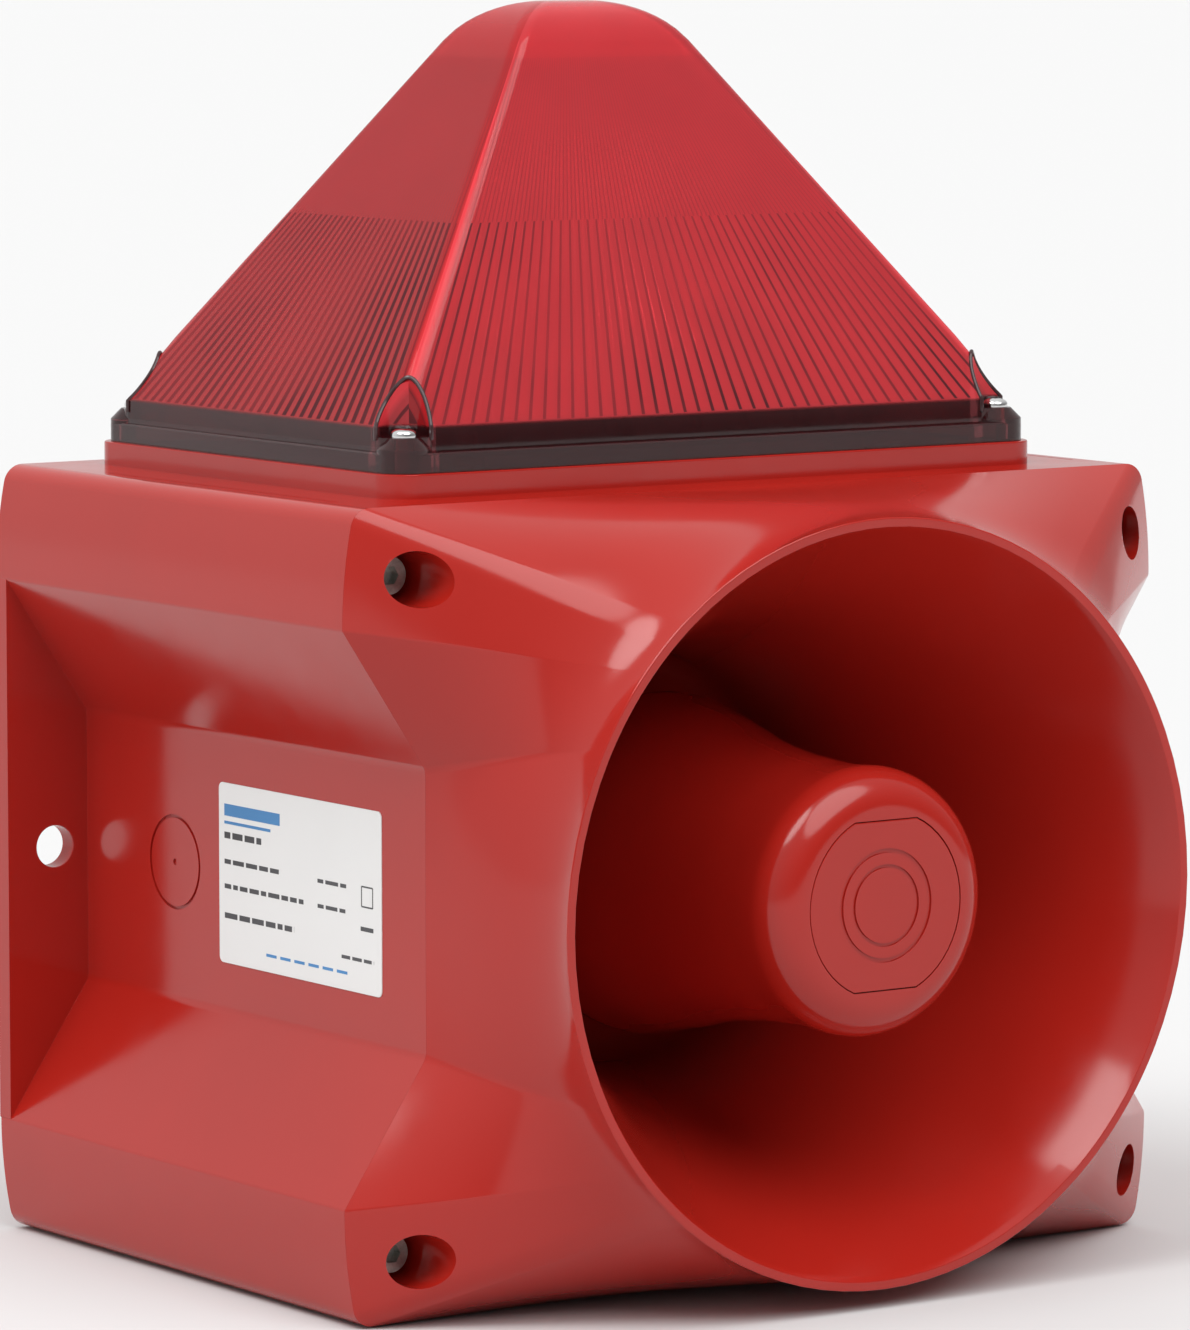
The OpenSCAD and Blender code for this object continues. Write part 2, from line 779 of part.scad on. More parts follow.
// Hub on three webs, bonded into the front of the throat tube, that carries the bullet
module bullet_spider() {
    hub_l = 12;
    web_w = 2.5;
    color([0.45, 0.10, 0.08]) forward(tube_front - hub_l) difference() {
        union() {
            cylinder(r = 5, h = hub_l);
            for (a = [90:120:330]) rotate([0, 0, a]) translate([0, -web_w / 2, 0])
                cube([throat_bore_r - 0.1, web_w, hub_l - 1]);
        }
        translate([0, 0, -1]) cylinder(r = 2 + fit, h = hub_l + 2);
    }
}

// Outside of the bullet as radius and depth, from the rear edge to the nose face
bullet_nose_r = 9;
bullet_waist = concat(
    [[bullet_r - 0.9, bullet_back], [bullet_r - 0.1, bullet_back + 2], [bullet_r, bullet_back + 5]],
    [[39.3, 118], [37.6, 126], [35.6, 134], [33.8, 142], [32.4, 151], [31.2, 162], [30.5, 173]]);
bullet_outside = concat(bullet_waist,
    arc(nose_r - bullet_nose_r, bullet_front - bullet_nose_r, bullet_nose_r, 0, 90, 6));

module horn_bullet() {
    inside = [for (i = [len(bullet_waist) - 1:-1:0]) bullet_waist[i] - [bullet_t, 0]];
    profile = concat(bullet_outside, [[4.2, bullet_front], [4.2, bullet_front - 8],
        [nose_r - bullet_nose_r, bullet_front - 8]], inside);
    color(red) difference() {
        union() {
            forward(0) rotate_extrude() polygon(profile);
            forward(0) difference() {
                translate([0, 0, tube_front + fit]) cylinder(r = 7, h = bullet_front - tube_front - 4);
                translate([0, 0, tube_front - 1]) cylinder(r = 4.2, h = 60);
            }
            forward(0) difference() {
                translate([0, 0, tube_front + fit]) cylinder(r = 5, h = 6);
                translate([0, 0, tube_front - 1]) cylinder(r = 2.2, h = 10);
            }
        }
        forward(bullet_front - cap_t) cap_shape(0.15, 10);
    }
}

module cap_shape(gap, h) {
    linear_extrude(h) intersection() {
        circle(r = cap_r + gap);
        square([3 * cap_r, 2 * (cap_flat + gap)], center = true);
    }
}

module bullet_screw() {
    color(steel) forward(0) {
        translate([0, 0, tube_front - 11]) cylinder(r = 2, h = 17 + fit);
        translate([0, 0, tube_front + 6 + fit]) difference() {
            cylinder(r = 3.8, h = 3.2);
            translate([0, 0, 1.2]) cylinder(r = 1.6, h = 4, $fn = 6);
        }
    }
}

module nose_cap() {
    color(red) forward(bullet_front - cap_t) cap_shape(0, cap_t);
}

module cover_screws() {
    color(steel) {
        at_screws(head_seat - 16) cylinder(r = screw_r, h = 16 + seal_t);
        at_screws(head_seat + seal_t) difference() {
            cylinder(r = head_r, h = head_t);
            translate([0, 0, 1.5]) cylinder(r = 2.3, h = 4, $fn = 6);
        }
    }
}

module screw_seals() {
    color(dark_rubber) at_screws(head_seat) ring(4.6, screw_r + 0.2, seal_t);
}

// ---------- driver ----------

module driver_gasket() {
    color(dark_rubber) difference() {
        forward(horn_plate - 1) ring(front_r, throat_r + 4, 1);
        at_driver_screws(horn_plate - 2) cylinder(r = 1.9, h = 3);
    }
}

module driver_front() {
    cone_back = front_back + 7;
    throat_back = cone_back + 7;
    color([0.75, 0.76, 0.78]) difference() {
        forward(0) difference() {
            union() {
                translate([0, 0, front_back]) cylinder(r = driver_r, h = horn_plate - 1 - front_back);
                translate([0, 0, horn_plate - 6]) cylinder(r = front_r, h = 5);
            }
            translate([0, 0, throat_back - 1]) cylinder(r = throat_r, h = 10);
            translate([0, 0, front_back - 1]) cylinder(r = chamber_r, h = cone_back - front_back + 1);
            translate([0, 0, cone_back - eps]) cylinder(r1 = chamber_r, r2 = throat_r,
                h = throat_back - cone_back);
        }
        at_driver_screws(horn_plate - 7) cylinder(r = 1.9, h = 8);
    }
}

module phase_plug() {
    web_l = 4;
    color([0.20, 0.20, 0.22]) forward(plug_back) {
        cylinder(r1 = 13, r2 = 3, h = plug_l);
        for (a = [0:120:240]) rotate([0, 0, a]) translate([4, -0.6, plug_l - web_l - 0.5])
            cube([throat_r - 4.1, 1.2, web_l]);
    }
}

module driver_plate() {
    color(steel) forward(plate_back) ring(driver_r, coil_r + coil_t + gap, plate_t);
}

module driver_magnet() {
    color([0.18, 0.18, 0.19]) forward(magnet_back) ring(driver_r - 1, 24, plate_back - magnet_back);
}

module driver_yoke() {
    color(steel) forward(yoke_back) {
        cylinder(r = driver_r - 2, h = magnet_back - yoke_back);
        cylinder(r = coil_r - gap, h = front_back - yoke_back);
    }
}

module driver_cap() {
    color([0.13, 0.13, 0.14]) forward(0) difference() {
        translate([0, 0, yoke_back - 4]) cylinder(r = cap_outer_r, h = horn_plate - 6.1 - yoke_back + 4);
        translate([0, 0, yoke_back - 1]) cylinder(r = driver_r + 0.6, h = 60);
    }
}

module driver_screws() {
    color(steel) at_driver_screws(horn_plate - 6) {
        cylinder(r = 1.5, h = 9);
        translate([0, 0, -2.2]) cylinder(r = 2.8, h = 2.2);
    }
}

// ---------- moving driver parts ----------

module diaphragm() {
    thick = 0.4;
    dome_r = 33.3;
    dome_back = -28;
    color([0.80, 0.65, 0.35]) forward(diaphragm_depth) {
        ring(chamber_r - 0.6, coil_r - 1, thick);
        intersection() {
            difference() {
                translate([0, 0, dome_back]) sphere(r = dome_r);
                translate([0, 0, dome_back]) sphere(r = dome_r - thick);
            }
            cylinder(r = coil_r - 0.2, h = 20);
        }
    }
}

module voice_coil() {
    color([0.75, 0.40, 0.20]) forward(plate_back - 1)
        ring(coil_r + coil_t, coil_r, diaphragm_depth - plate_back + 1);
}

// ---------- assembly ----------

rear_housing();
cover_inserts();
cover_gasket();
rating_label();
main_board();
board_screws();
terminal_block();
terminal_screws();
choke();
reservoir_capacitors();
heat_sink();
power_transistors();
tone_switch();
slider_1();
slider_2();
slider_3();
slider_4();
slider_5();
slider_6();
volume_control();
volume_knob();
beacon_base();
beacon_gasket();
beacon_screws();
lens_inserts();
lens_gasket();
flash_board();
flash_board_screws();
tube_holder();
flash_tube();
trigger_coil();
flash_capacitors();
lens();
lens_screws();
front_cover();
horn_flare();
throat_cone();
throat_tube();
bullet_spider();
horn_bullet();
bullet_screw();
nose_cap();
cover_screws();
screw_seals();
driver_gasket();
driver_front();
phase_plug();
driver_plate();
driver_magnet();
driver_yoke();
driver_cap();
driver_screws();
diaphragm();
voice_coil();
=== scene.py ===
import math
import random

import bmesh
import bpy
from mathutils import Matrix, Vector


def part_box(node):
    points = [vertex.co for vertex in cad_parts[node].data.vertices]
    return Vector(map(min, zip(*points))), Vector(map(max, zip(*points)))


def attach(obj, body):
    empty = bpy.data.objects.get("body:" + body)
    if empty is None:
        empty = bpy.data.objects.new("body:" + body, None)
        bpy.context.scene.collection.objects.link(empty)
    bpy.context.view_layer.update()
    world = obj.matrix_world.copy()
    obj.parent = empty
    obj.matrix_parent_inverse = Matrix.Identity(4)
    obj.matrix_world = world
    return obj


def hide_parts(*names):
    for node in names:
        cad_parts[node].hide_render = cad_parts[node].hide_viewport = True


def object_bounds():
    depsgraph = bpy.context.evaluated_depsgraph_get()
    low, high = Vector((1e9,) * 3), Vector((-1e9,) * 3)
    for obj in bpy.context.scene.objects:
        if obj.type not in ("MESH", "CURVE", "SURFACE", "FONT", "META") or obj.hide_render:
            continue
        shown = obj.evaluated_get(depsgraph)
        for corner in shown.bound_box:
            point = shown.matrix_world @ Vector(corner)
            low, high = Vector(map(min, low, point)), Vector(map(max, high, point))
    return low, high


# Visual model of a wall-mounted alarm sounder with a beacon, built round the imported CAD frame.
# The horn faces -Y and +Z is up. Helpers work in millimetres; "depth" is the distance forward
# from the wall, so depth d is y = -d. Meshes are stored in metres.

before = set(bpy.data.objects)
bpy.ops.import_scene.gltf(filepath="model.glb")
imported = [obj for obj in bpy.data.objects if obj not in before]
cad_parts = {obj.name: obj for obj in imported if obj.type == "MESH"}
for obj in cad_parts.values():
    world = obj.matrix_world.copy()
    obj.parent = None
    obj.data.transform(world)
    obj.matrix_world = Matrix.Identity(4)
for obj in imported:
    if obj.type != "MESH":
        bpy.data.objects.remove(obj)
cad_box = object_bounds()
MM = 0.001
# Depth of the beacon's centre
BEACON_D = 73.0


# ---------- camera, floor and light ----------

TARGET = Vector((0.0595, 0.0, 0.0333))
CAMERA_AZIMUTH = math.radians(-35.0)
CAMERA_ELEVATION = math.radians(6.16)
CAMERA_DISTANCE = 1.8132
LENS_MM = 194.2
SKY_TOWARDS = (-0.25, 0.62, 0.74)
SKY_SPAN = (-0.55, 0.75)
SKY_STRENGTH = (0.12, 0.85)
FLOOR_HALF = 60.0
FLOOR_GAP = 0.0005
FLOOR_GREY = 0.66
# Name, direction the light comes from, strength, width in degrees
SUNS = (("key", (-0.52, -0.10, 0.85), 1.25, 32.0), ("front", (0.05, -0.60, 0.80), 1.7, 50.0))


def in_scene(name, data):
    obj = bpy.data.objects.new(name, data)
    bpy.context.scene.collection.objects.link(obj)
    return obj


def look_along(obj, direction):
    obj.rotation_mode = "QUATERNION"
    obj.rotation_quaternion = direction.to_track_quat("-Z", "Y")


def make_camera():
    data = bpy.data.cameras.new("camera")
    data.sensor_width = 36.0
    data.lens = LENS_MM
    data.clip_start = 0.05
    data.clip_end = 200.0
    flat = math.cos(CAMERA_ELEVATION)
    back = Vector((math.sin(CAMERA_AZIMUTH) * flat, -math.cos(CAMERA_AZIMUTH) * flat,
                   math.sin(CAMERA_ELEVATION)))
    cam = in_scene("camera", data)
    cam.location = TARGET + back * CAMERA_DISTANCE
    look_along(cam, -back)
    bpy.context.scene.camera = cam


def make_sky():
    """Studio walls: bright overhead and behind the object on the left, darker in front of it."""
    world = bpy.data.worlds.new("studio")
    bpy.context.scene.world = world
    g = Graph(world)
    along = g.node("VectorMath", {0: g.node("TexCoord").outputs["Generated"],
                                  1: Vector(SKY_TOWARDS).normalized()}, operation="DOT_PRODUCT")
    strength = g.step(along.outputs["Value"], *SKY_SPAN, *SKY_STRENGTH)
    g.put(g.nodes["Background"], {"Color": (1.0, 1.0, 1.0), "Strength": strength})


def make_stage():
    z = cad_box[0].z - FLOOR_GAP
    mesh = bpy.data.meshes.new("floor")
    mesh.from_pydata([(x * FLOOR_HALF, y * FLOOR_HALF, z)
                      for x, y in ((-1, -1), (1, -1), (1, 1), (-1, 1))], [], [(0, 1, 2, 3)])
    floor = in_scene("floor", mesh)
    s = surface("pale_floor")
    s.shade({"Base Color": grey(FLOOR_GREY), "Roughness": 0.9, "Specular IOR Level": 0.1})
    mesh.materials.append(s.owner)
    make_sky()
    for name, towards, strength, width in SUNS:
        data = bpy.data.lights.new(name, "SUN")
        data.energy = strength
        data.angle = math.radians(width)
        look_along(in_scene(name, data), -Vector(towards))
    bpy.context.scene.view_settings.view_transform = "Standard"


# ---------- materials ----------

class Graph:
    """Short ways to add nodes to a material or the world. A value is a number, tuple or output."""

    def __init__(self, owner):
        owner.use_nodes = True
        self.owner = owner
        self.nodes = owner.node_tree.nodes
        self.links = owner.node_tree.links

    def put(self, node, values):
        """Sets or links inputs of a node, given by name or number."""
        for key, value in values.items():
            socket = node.inputs[key]
            if isinstance(value, bpy.types.NodeSocket):
                self.links.new(value, socket)
            elif socket.type == "RGBA":
                socket.default_value = (*value, 1)
            else:
                socket.default_value = value

    def shade(self, values):
        self.put(self.nodes["Principled BSDF"], values)

    def node(self, kind, values=None, **settings):
        node = self.nodes.new("ShaderNode" + kind)
        for key, value in settings.items():
            setattr(node, key, value)
        self.put(node, values or {})
        return node

    def place(self):
        return self.node("TexCoord").outputs["Object"]

    def noise(self, scale, detail=4.0, rough=0.5, stretch=(1, 1, 1)):
        """Noise in object space."""
        vector = self.node("Mapping", {"Vector": self.place(), "Scale": stretch}).outputs["Vector"]
        return self.node("TexNoise", {"Vector": vector, "Scale": scale, "Detail": detail,
                                      "Roughness": rough}).outputs["Fac"]

    def ramp(self, source, low, high, start=0.35, stop=0.65):
        """Colour ramp from colour low at start to colour high at stop."""
        node = self.node("ValToRGB", {"Fac": source})
        first, last = node.color_ramp.elements
        first.position, last.position = start, stop
        first.color, last.color = (*low, 1), (*high, 1)
        return node.outputs["Color"]

    def math(self, operation, *values):
        return self.node("Math", dict(enumerate(values)), operation=operation).outputs[0]

    def pick(self, chooser, a, b):
        """Number a where chooser is 0 and b where it is 1."""
        return self.math("MULTIPLY_ADD", self.math("SUBTRACT", b, a), chooser, a)

    def mix(self, factor, a, b):
        """Colour a where factor is 0 and b where it is 1."""
        return self.node("Mix", {0: factor, 6: a, 7: b}, data_type="RGBA").outputs[2]

    def step(self, value, low, high, start=0.0, stop=1.0):
        """Maps value from low..high to start..stop with clamped ends."""
        return self.node("MapRange", {"Value": value, "From Min": low, "From Max": high,
                                      "To Min": start, "To Max": stop}).outputs["Result"]

    def finish(self, colour, roughness, height, strength, distance):
        """Sets colour, roughness and bump, and returns the material."""
        bump = self.node("Bump", {"Height": height, "Strength": strength, "Distance": distance})
        self.shade({"Base Color": colour, "Roughness": roughness, "Normal": bump.outputs["Normal"]})
        return self.owner


def surface(name):
    return Graph(bpy.data.materials.new(name))


def grey(value):
    return (value, value, value)


GLOSS_SPREAD = 0.03


def moulded(name, colour, roughness, grain=900.0, bump=0.05, lift=1.12):
    """Moulded plastic: slow colour drift, uneven gloss and a fine surface ripple."""
    s = surface(name)
    high = tuple(min(1.0, c * lift) for c in colour)
    low = tuple(c * (2 - lift) for c in colour)
    tone = s.ramp(s.noise(14.0), low, high)
    gloss = s.ramp(s.noise(60.0, detail=8.0, rough=0.7), grey(roughness - GLOSS_SPREAD),
                   grey(roughness + GLOSS_SPREAD))
    return s.finish(tone, gloss, s.noise(grain, detail=3.0), bump, 0.0001)


def metal(name, colour, roughness, stretch=(1, 1, 1), mottle=0.25, bump=0.15):
    """Metal with mottled tone and fine machining marks."""
    s = surface(name)
    s.shade({"Metallic": 1.0})
    low = tuple(c * (1 - mottle) for c in colour)
    tone = s.ramp(s.noise(420.0, detail=6.0, rough=0.7), low, colour)
    marks = s.noise(1500.0, detail=5.0, stretch=stretch)
    gloss = s.ramp(marks, grey(roughness * 0.75), grey(roughness * 1.3))
    return s.finish(tone, gloss, marks, bump, 0.00005)


# Prism fields of the lens, in metres: height of the sloping faces' foot, then for each pair of
# faces the half size there, how much it shrinks per metre of height, and the number of prisms
SLOPE_FOOT = 0.1075
FRONT_FIELD = (0.0895, 0.753, 45)
SIDE_FIELD = (0.0600, 0.5106, 33)
FIELD_LOW = 0.1080
FIELD_STEP = 0.1520
FIELD_HIGH = 0.1890
# Prisms are counted from far outside the lens, and one prism is centred on each face
FIELD_OFFSET = 100.5
# Share of the half size where the ridges begin
FIELD_EDGE = (0.955, 0.975)
# Painted shade in the prism valleys: the dark share of a prism is what lies beyond this, on the long
# faces and on the end faces
LINE_START = (0.64, 0.42)
LINE_SOFT = 0.18
FINE_LINE = (0.22, 0.40)
FINE_STRENGTH = 0.55
FAINT_LINE = 0.65


def prism_valley_shade(s):
    """Painted shade in the valleys between the lens prisms, 0 to 1: broad below FIELD_STEP, faint and
    fine above it.
    Also returns 1 on the two end faces and 0 on the long faces, 1 between the ridges and 0 on
    them, and the height."""
    place = s.node("TexCoord").outputs
    x, y, z = s.node("SeparateXYZ", {0: place["Object"]}).outputs
    facing = s.node("SeparateXYZ", {0: place["Normal"]}).outputs
    y = s.math("ADD", y, BEACON_D * MM)
    side_on = s.math("GREATER_THAN", s.math("ABSOLUTE", facing["X"]),
                     s.math("ABSOLUTE", facing["Y"]))
    rise = s.math("SUBTRACT", z, SLOPE_FOOT)
    turns, shares = [], []
    for across, (half, shrink, count) in ((x, FRONT_FIELD), (y, SIDE_FIELD)):
        share = s.math("DIVIDE", across, s.math("MULTIPLY_ADD", rise, -shrink, half))
        shares.append(s.math("ABSOLUTE", share))
        turns.append(s.math("MULTIPLY_ADD", share, count / 2, FIELD_OFFSET))
    turn = s.pick(side_on, *turns)
    beside = s.step(s.pick(side_on, *shares), *FIELD_EDGE, 1.0, 0.0)
    coarse = s.math("MULTIPLY", s.math("PINGPONG", turn, 0.5), 2.0)
    edge = s.math("SUBTRACT", coarse, s.step(side_on, 0.0, 1.0, *LINE_START))
    patchy = s.step(s.noise(16.0, detail=3.0), 0.40, 0.62, FAINT_LINE, 1.0)
    # Painted shade along the broad prism valleys, patchy in strength
    line = s.math("MULTIPLY", s.step(edge, 0.0, LINE_SOFT), patchy)
    # Painted shade along the fine prism valleys above FIELD_STEP
    fine = s.math("PINGPONG", s.math("MULTIPLY", turn, 2.0), 0.5)
    fine = s.step(fine, *FINE_LINE, 0.0, FINE_STRENGTH)
    both = s.pick(s.math("LESS_THAN", z, FIELD_STEP), fine, line)
    field = s.math("MULTIPLY", s.math("GREATER_THAN", z, FIELD_LOW),
                   s.math("LESS_THAN", z, FIELD_HIGH))
    field = s.math("MULTIPLY", field, beside)
    return s.math("MULTIPLY", both, field), side_on, beside, z


# Painted shade on the two end faces of the lens: their colour is scaled by this and mixed in by
# END_SHARE
END_FACE_SHADE = (0.62, 0.1, 0.1)
END_SHARE = 0.60
CLEAR_FOOT = 0.86
CLEAR_RIDGE = 0.30
CLEAR_FIELD = 0.60
LINE_LOSS = 0.45
# Specular level on the long faces and on the end faces
LENS_SHINE = (0.06, 0.005)


def clear_red(name, colour, valley_shade_colour, foot_shade_colour, roughness):
    """Transparent red plastic, milky over the prisms and clear round its foot, with painted shade in
    the prism valleys, on the two end faces and over the foot.
    """
    s = surface(name)
    body = s.ramp(s.noise(30.0), tuple(c * 0.94 for c in colour), colour)
    valley_shade, side_on, beside, z = prism_valley_shade(s)
    # Painted shade: the end faces get a deeper, darker red than the long faces
    end_face_shade = tuple(c * k for c, k in zip(colour, END_FACE_SHADE))
    body = s.mix(s.math("MULTIPLY", side_on, END_SHARE), body, end_face_shade)
    # Painted shade: the prism valleys are darkened towards a dark red
    body = s.mix(valley_shade, body, valley_shade_colour)
    high = s.step(z, FIELD_LOW - 0.0008, FIELD_LOW)
    field = s.step(beside, 0.0, 1.0, CLEAR_RIDGE, CLEAR_FIELD)
    field = s.math("MULTIPLY_ADD", valley_shade, -LINE_LOSS, field)
    s.shade({"Transmission Weight": s.pick(high, CLEAR_FOOT, field), "IOR": 1.49,
             "Specular IOR Level": s.step(side_on, 0.0, 1.0, *LENS_SHINE)})
    gloss = s.ramp(s.noise(90.0, detail=6.0), grey(roughness * 0.7), grey(roughness * 1.3))
    # Below the prism field the colour is the darker foot colour, painted shade of the dark inside seen
    # through it
    return s.finish(s.mix(high, foot_shade_colour, body), gloss, s.noise(260.0, detail=2.0), 0.02, 0.0001)


def clear_glass(name):
    s = surface(name)
    smoke = s.noise(200.0)
    s.shade({"Transmission Weight": 1.0, "IOR": 1.46,
             "Base Color": s.ramp(smoke, (0.86, 0.88, 0.9), (0.97, 0.98, 1.0)),
             "Roughness": s.ramp(smoke, grey(0.02), grey(0.08))})
    return s.owner


def board_material(name):
    """Green solder mask with paler tracks under it."""
    s = surface(name)
    upright_board = s.node("Mapping", {"Vector": s.place(), "Rotation": (math.pi / 2, 0, 0)})
    tracks = s.node("TexBrick", {
        "Vector": upright_board.outputs["Vector"], "Scale": 120.0, "Mortar Size": 0.06,
        "Color1": (0.015, 0.12, 0.05), "Color2": (0.012, 0.10, 0.042), "Mortar": (0.03, 0.20, 0.09)})
    gloss = s.ramp(s.noise(300.0), grey(0.28), grey(0.42))
    return s.finish(tracks.outputs["Color"], gloss, tracks.outputs["Fac"], 0.3, 0.00005)


def winding(name, colour):
    """Enamelled wire laid side by side along Y, with painted shade in the grooves between turns."""
    s = surface(name)
    wave = s.node("TexWave", {"Vector": s.place(), "Scale": 350.0, "Distortion": 0.4},
                  bands_direction="Y").outputs["Fac"]
    s.shade({"Metallic": 0.8})
    # Painted shade: the colour falls to 45 % in the grooves between turns and is full on the crests
    tone = s.ramp(wave, tuple(c * 0.45 for c in colour), colour, 0.2, 0.8)
    return s.finish(tone, 0.35, wave, 0.5, 0.0001)


mats = {
    "red": moulded("red_plastic", (0.40, 0.0155, 0.0095), 0.15, lift=1.04, bump=0.02),
    "dark_red": moulded("dark_red_plastic", (0.26, 0.015, 0.012), 0.4),
    # The second colour is painted shade for the prism valleys; the third is the foot's colour,
    # darkened as painted shade
    "lens": clear_red("red_lens_plastic", (0.90, 0.062, 0.078), (0.085, 0.018, 0.022),
                      (0.16, 0.03, 0.035), 0.10),
    # Near-black lens plastic for the bars that paint shade along the niche edges
    "niche_shade": moulded("niche_edge_shade", (0.045, 0.018, 0.02), 0.12),
    "rubber": moulded("black_rubber", (0.02, 0.02, 0.021), 0.75, grain=1500.0, bump=0.3),
    "brass": metal("brass", (0.72, 0.53, 0.24), 0.3),
    "steel": metal("stainless_steel", (0.66, 0.66, 0.64), 0.32),
    "bright_steel": metal("bright_steel", (0.80, 0.80, 0.80), 0.16, mottle=0.12, bump=0.05),
    "dull_steel": metal("dull_steel", (0.56, 0.60, 0.56), 0.42, mottle=0.4, bump=0.4),
    "zinc": metal("zinc_plated_steel", (0.60, 0.62, 0.64), 0.35, mottle=0.3),
    "ferrite": moulded("ferrite", (0.035, 0.035, 0.04), 0.55, grain=1200.0, bump=0.4),
    "alu": metal("aluminium", (0.68, 0.69, 0.70), 0.38, stretch=(1, 0.05, 1)),
    "black": moulded("black_plastic", (0.022, 0.022, 0.024), 0.5, bump=0.2),
    "board": board_material("circuit_board"),
    "green": moulded("green_plastic", (0.05, 0.24, 0.10), 0.42),
    "label": moulded("label_film", (0.80, 0.80, 0.79), 0.45, lift=1.02, grain=2500.0, bump=0.15),
    "ink": moulded("label_ink", (0.06, 0.06, 0.065), 0.5, lift=1.3),
    "ink_blue": moulded("label_ink_blue", (0.06, 0.24, 0.52), 0.5, lift=1.1),
    "switch_red": moulded("switch_plastic", (0.46, 0.03, 0.03), 0.45),
    "blue": moulded("blue_plastic", (0.03, 0.12, 0.40), 0.4),
    "white": moulded("white_plastic", (0.78, 0.78, 0.76), 0.4, lift=1.03),
    "sleeve": moulded("capacitor_sleeve", (0.02, 0.024, 0.06), 0.25, bump=0.03),
    "copper": winding("copper_winding", (0.62, 0.27, 0.12)),
    "phenolic": moulded("phenolic_film", (0.36, 0.20, 0.07), 0.5, grain=1800.0, bump=0.4),
    "glass": clear_glass("tube_glass"),
}


# ---------- mesh helpers ----------

def new_object(name, verts, faces):
    """Object from points in millimetres, with outward normals."""
    mesh = bpy.data.meshes.new(name)
    mesh.from_pydata([Vector(v) * MM for v in verts], [], faces)
    bm = bmesh.new()
    bm.from_mesh(mesh)
    bmesh.ops.recalc_face_normals(bm, faces=bm.faces)
    bm.to_mesh(mesh)
    bm.free()
    return in_scene(name, mesh)


def bake(obj):
    """Applies every modifier of obj."""
    graph = bpy.context.evaluated_depsgraph_get()
    mesh = bpy.data.meshes.new_from_object(obj.evaluated_get(graph))
    old = obj.data
    obj.modifiers.clear()
    obj.data = mesh
    mesh.name = obj.name
    bpy.data.meshes.remove(old)


def carve(obj, tool, operation="DIFFERENCE"):
    """Exact boolean of obj with tool, which is used up."""
    cut = obj.modifiers.new("carve", "BOOLEAN")
    cut.object = tool
    cut.operation = operation
    cut.solver = "EXACT"
    bake(obj)
    mesh = tool.data
    bpy.data.objects.remove(tool)
    bpy.data.meshes.remove(mesh)


def add(obj, tool):
    carve(obj, tool, "UNION")


def round_edges(obj, test, width, segments):
    """Rounds the sharp edges whose middle, in millimetres, passes test."""
    bm = bmesh.new()
    bm.from_mesh(obj.data)
    edges = [e for e in bm.edges if len(e.link_faces) == 2 and e.calc_face_angle(0) > 0.5
             and test((e.verts[0].co + e.verts[1].co) / (2 * MM))]
    bmesh.ops.bevel(bm, geom=edges, offset=width * MM, segments=segments, affect="EDGES",
                    profile=0.5, clamp_overlap=True)
    bm.to_mesh(obj.data)
    bm.free()


def settle(obj, body, material, slot, nodes=(), sharp=32.0, weighted=True):
    """Last step for each piece: material, smooth shading, and its place in the frame."""
    obj.data.materials.clear()
    obj.data.materials.append(mats[material])
    obj.data.shade_smooth()
    obj.data.set_sharp_from_angle(angle=math.radians(sharp))
    if weighted:
        even = obj.modifiers.new("even", "WEIGHTED_NORMAL")
        even.keep_sharp = True
        even.weight = 80
    if nodes:
        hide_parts(*nodes)
    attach(obj, body)


def settle_red(obj, body, node):
    settle(obj, body, "red", "red_housing_plastic", [node])


def skin_faces(rows, columns, wrap):
    """Quads between rings: rows rings of columns points each."""
    last = rows if wrap else rows - 1
    return [(r * columns + c, r * columns + (c + 1) % columns,
             (r + 1) % rows * columns + (c + 1) % columns, (r + 1) % rows * columns + c)
            for r in range(last) for c in range(columns)]


def loft(name, rings, wrap=False):
    """Closed skin through rings of equal length: capped, or with the last ring joined to the
    first by wrap."""
    count = len(rings[0])
    verts = [p for ring in rings for p in ring]
    faces = skin_faces(len(rings), count, wrap)
    if not wrap:
        faces.append(tuple(range(count)))
        faces.append(tuple(range((len(rings) - 1) * count, len(rings) * count)))
    return new_object(name, verts, faces)


def at_depth(points, depth):
    """Points (x, z) set at a depth; any further entries are dropped."""
    return [(p[0], -depth, p[1]) for p in points]


def at_height(points, z):
    """Points (x, depth) set at height z."""
    return [(x, -d, z) for x, d in points]


def prism(name, points, d0, d1):
    """Outline in x and z, extruded from depth d0 to d1."""
    return loft(name, [at_depth(points, d0), at_depth(points, d1)])


def upright(name, points, z0, z1):
    """Outline in x and depth, extruded from z0 to z1."""
    return loft(name, [at_height(points, z0), at_height(points, z1)])


def circle(radius, count, cx=0.0, cy=0.0):
    return [(cx + radius * math.cos(2 * math.pi * i / count),
             cy + radius * math.sin(2 * math.pi * i / count)) for i in range(count)]


def rod(name, radius, d0, d1, x=0.0, z=0.0, count=48):
    return prism(name, circle(radius, count, x, z), d0, d1)


def lathe(name, profile, x=0.0, z=0.0, count=128):
    """Closed profile of (radius, depth) points turned about a line along depth at x, z."""
    rings = [[(x + r * c, -d, z + r * s) for r, d in profile] for c, s in circle(1, count)]
    return loft(name, rings, wrap=True)


def lathe_upright(name, profile, x, depth):
    """Closed profile of (radius, z) points turned about a vertical line."""
    rings = [[(x + r * c, -depth + r * s, h) for r, h in profile] for c, s in circle(1, 48)]
    return loft(name, rings, wrap=True)


def stack(name, levels, x, depth):
    """Solid through level circles given as (radius, z), about a vertical line."""
    return loft(name, [at_height(circle(r, 48, x, depth), z) for r, z in levels])


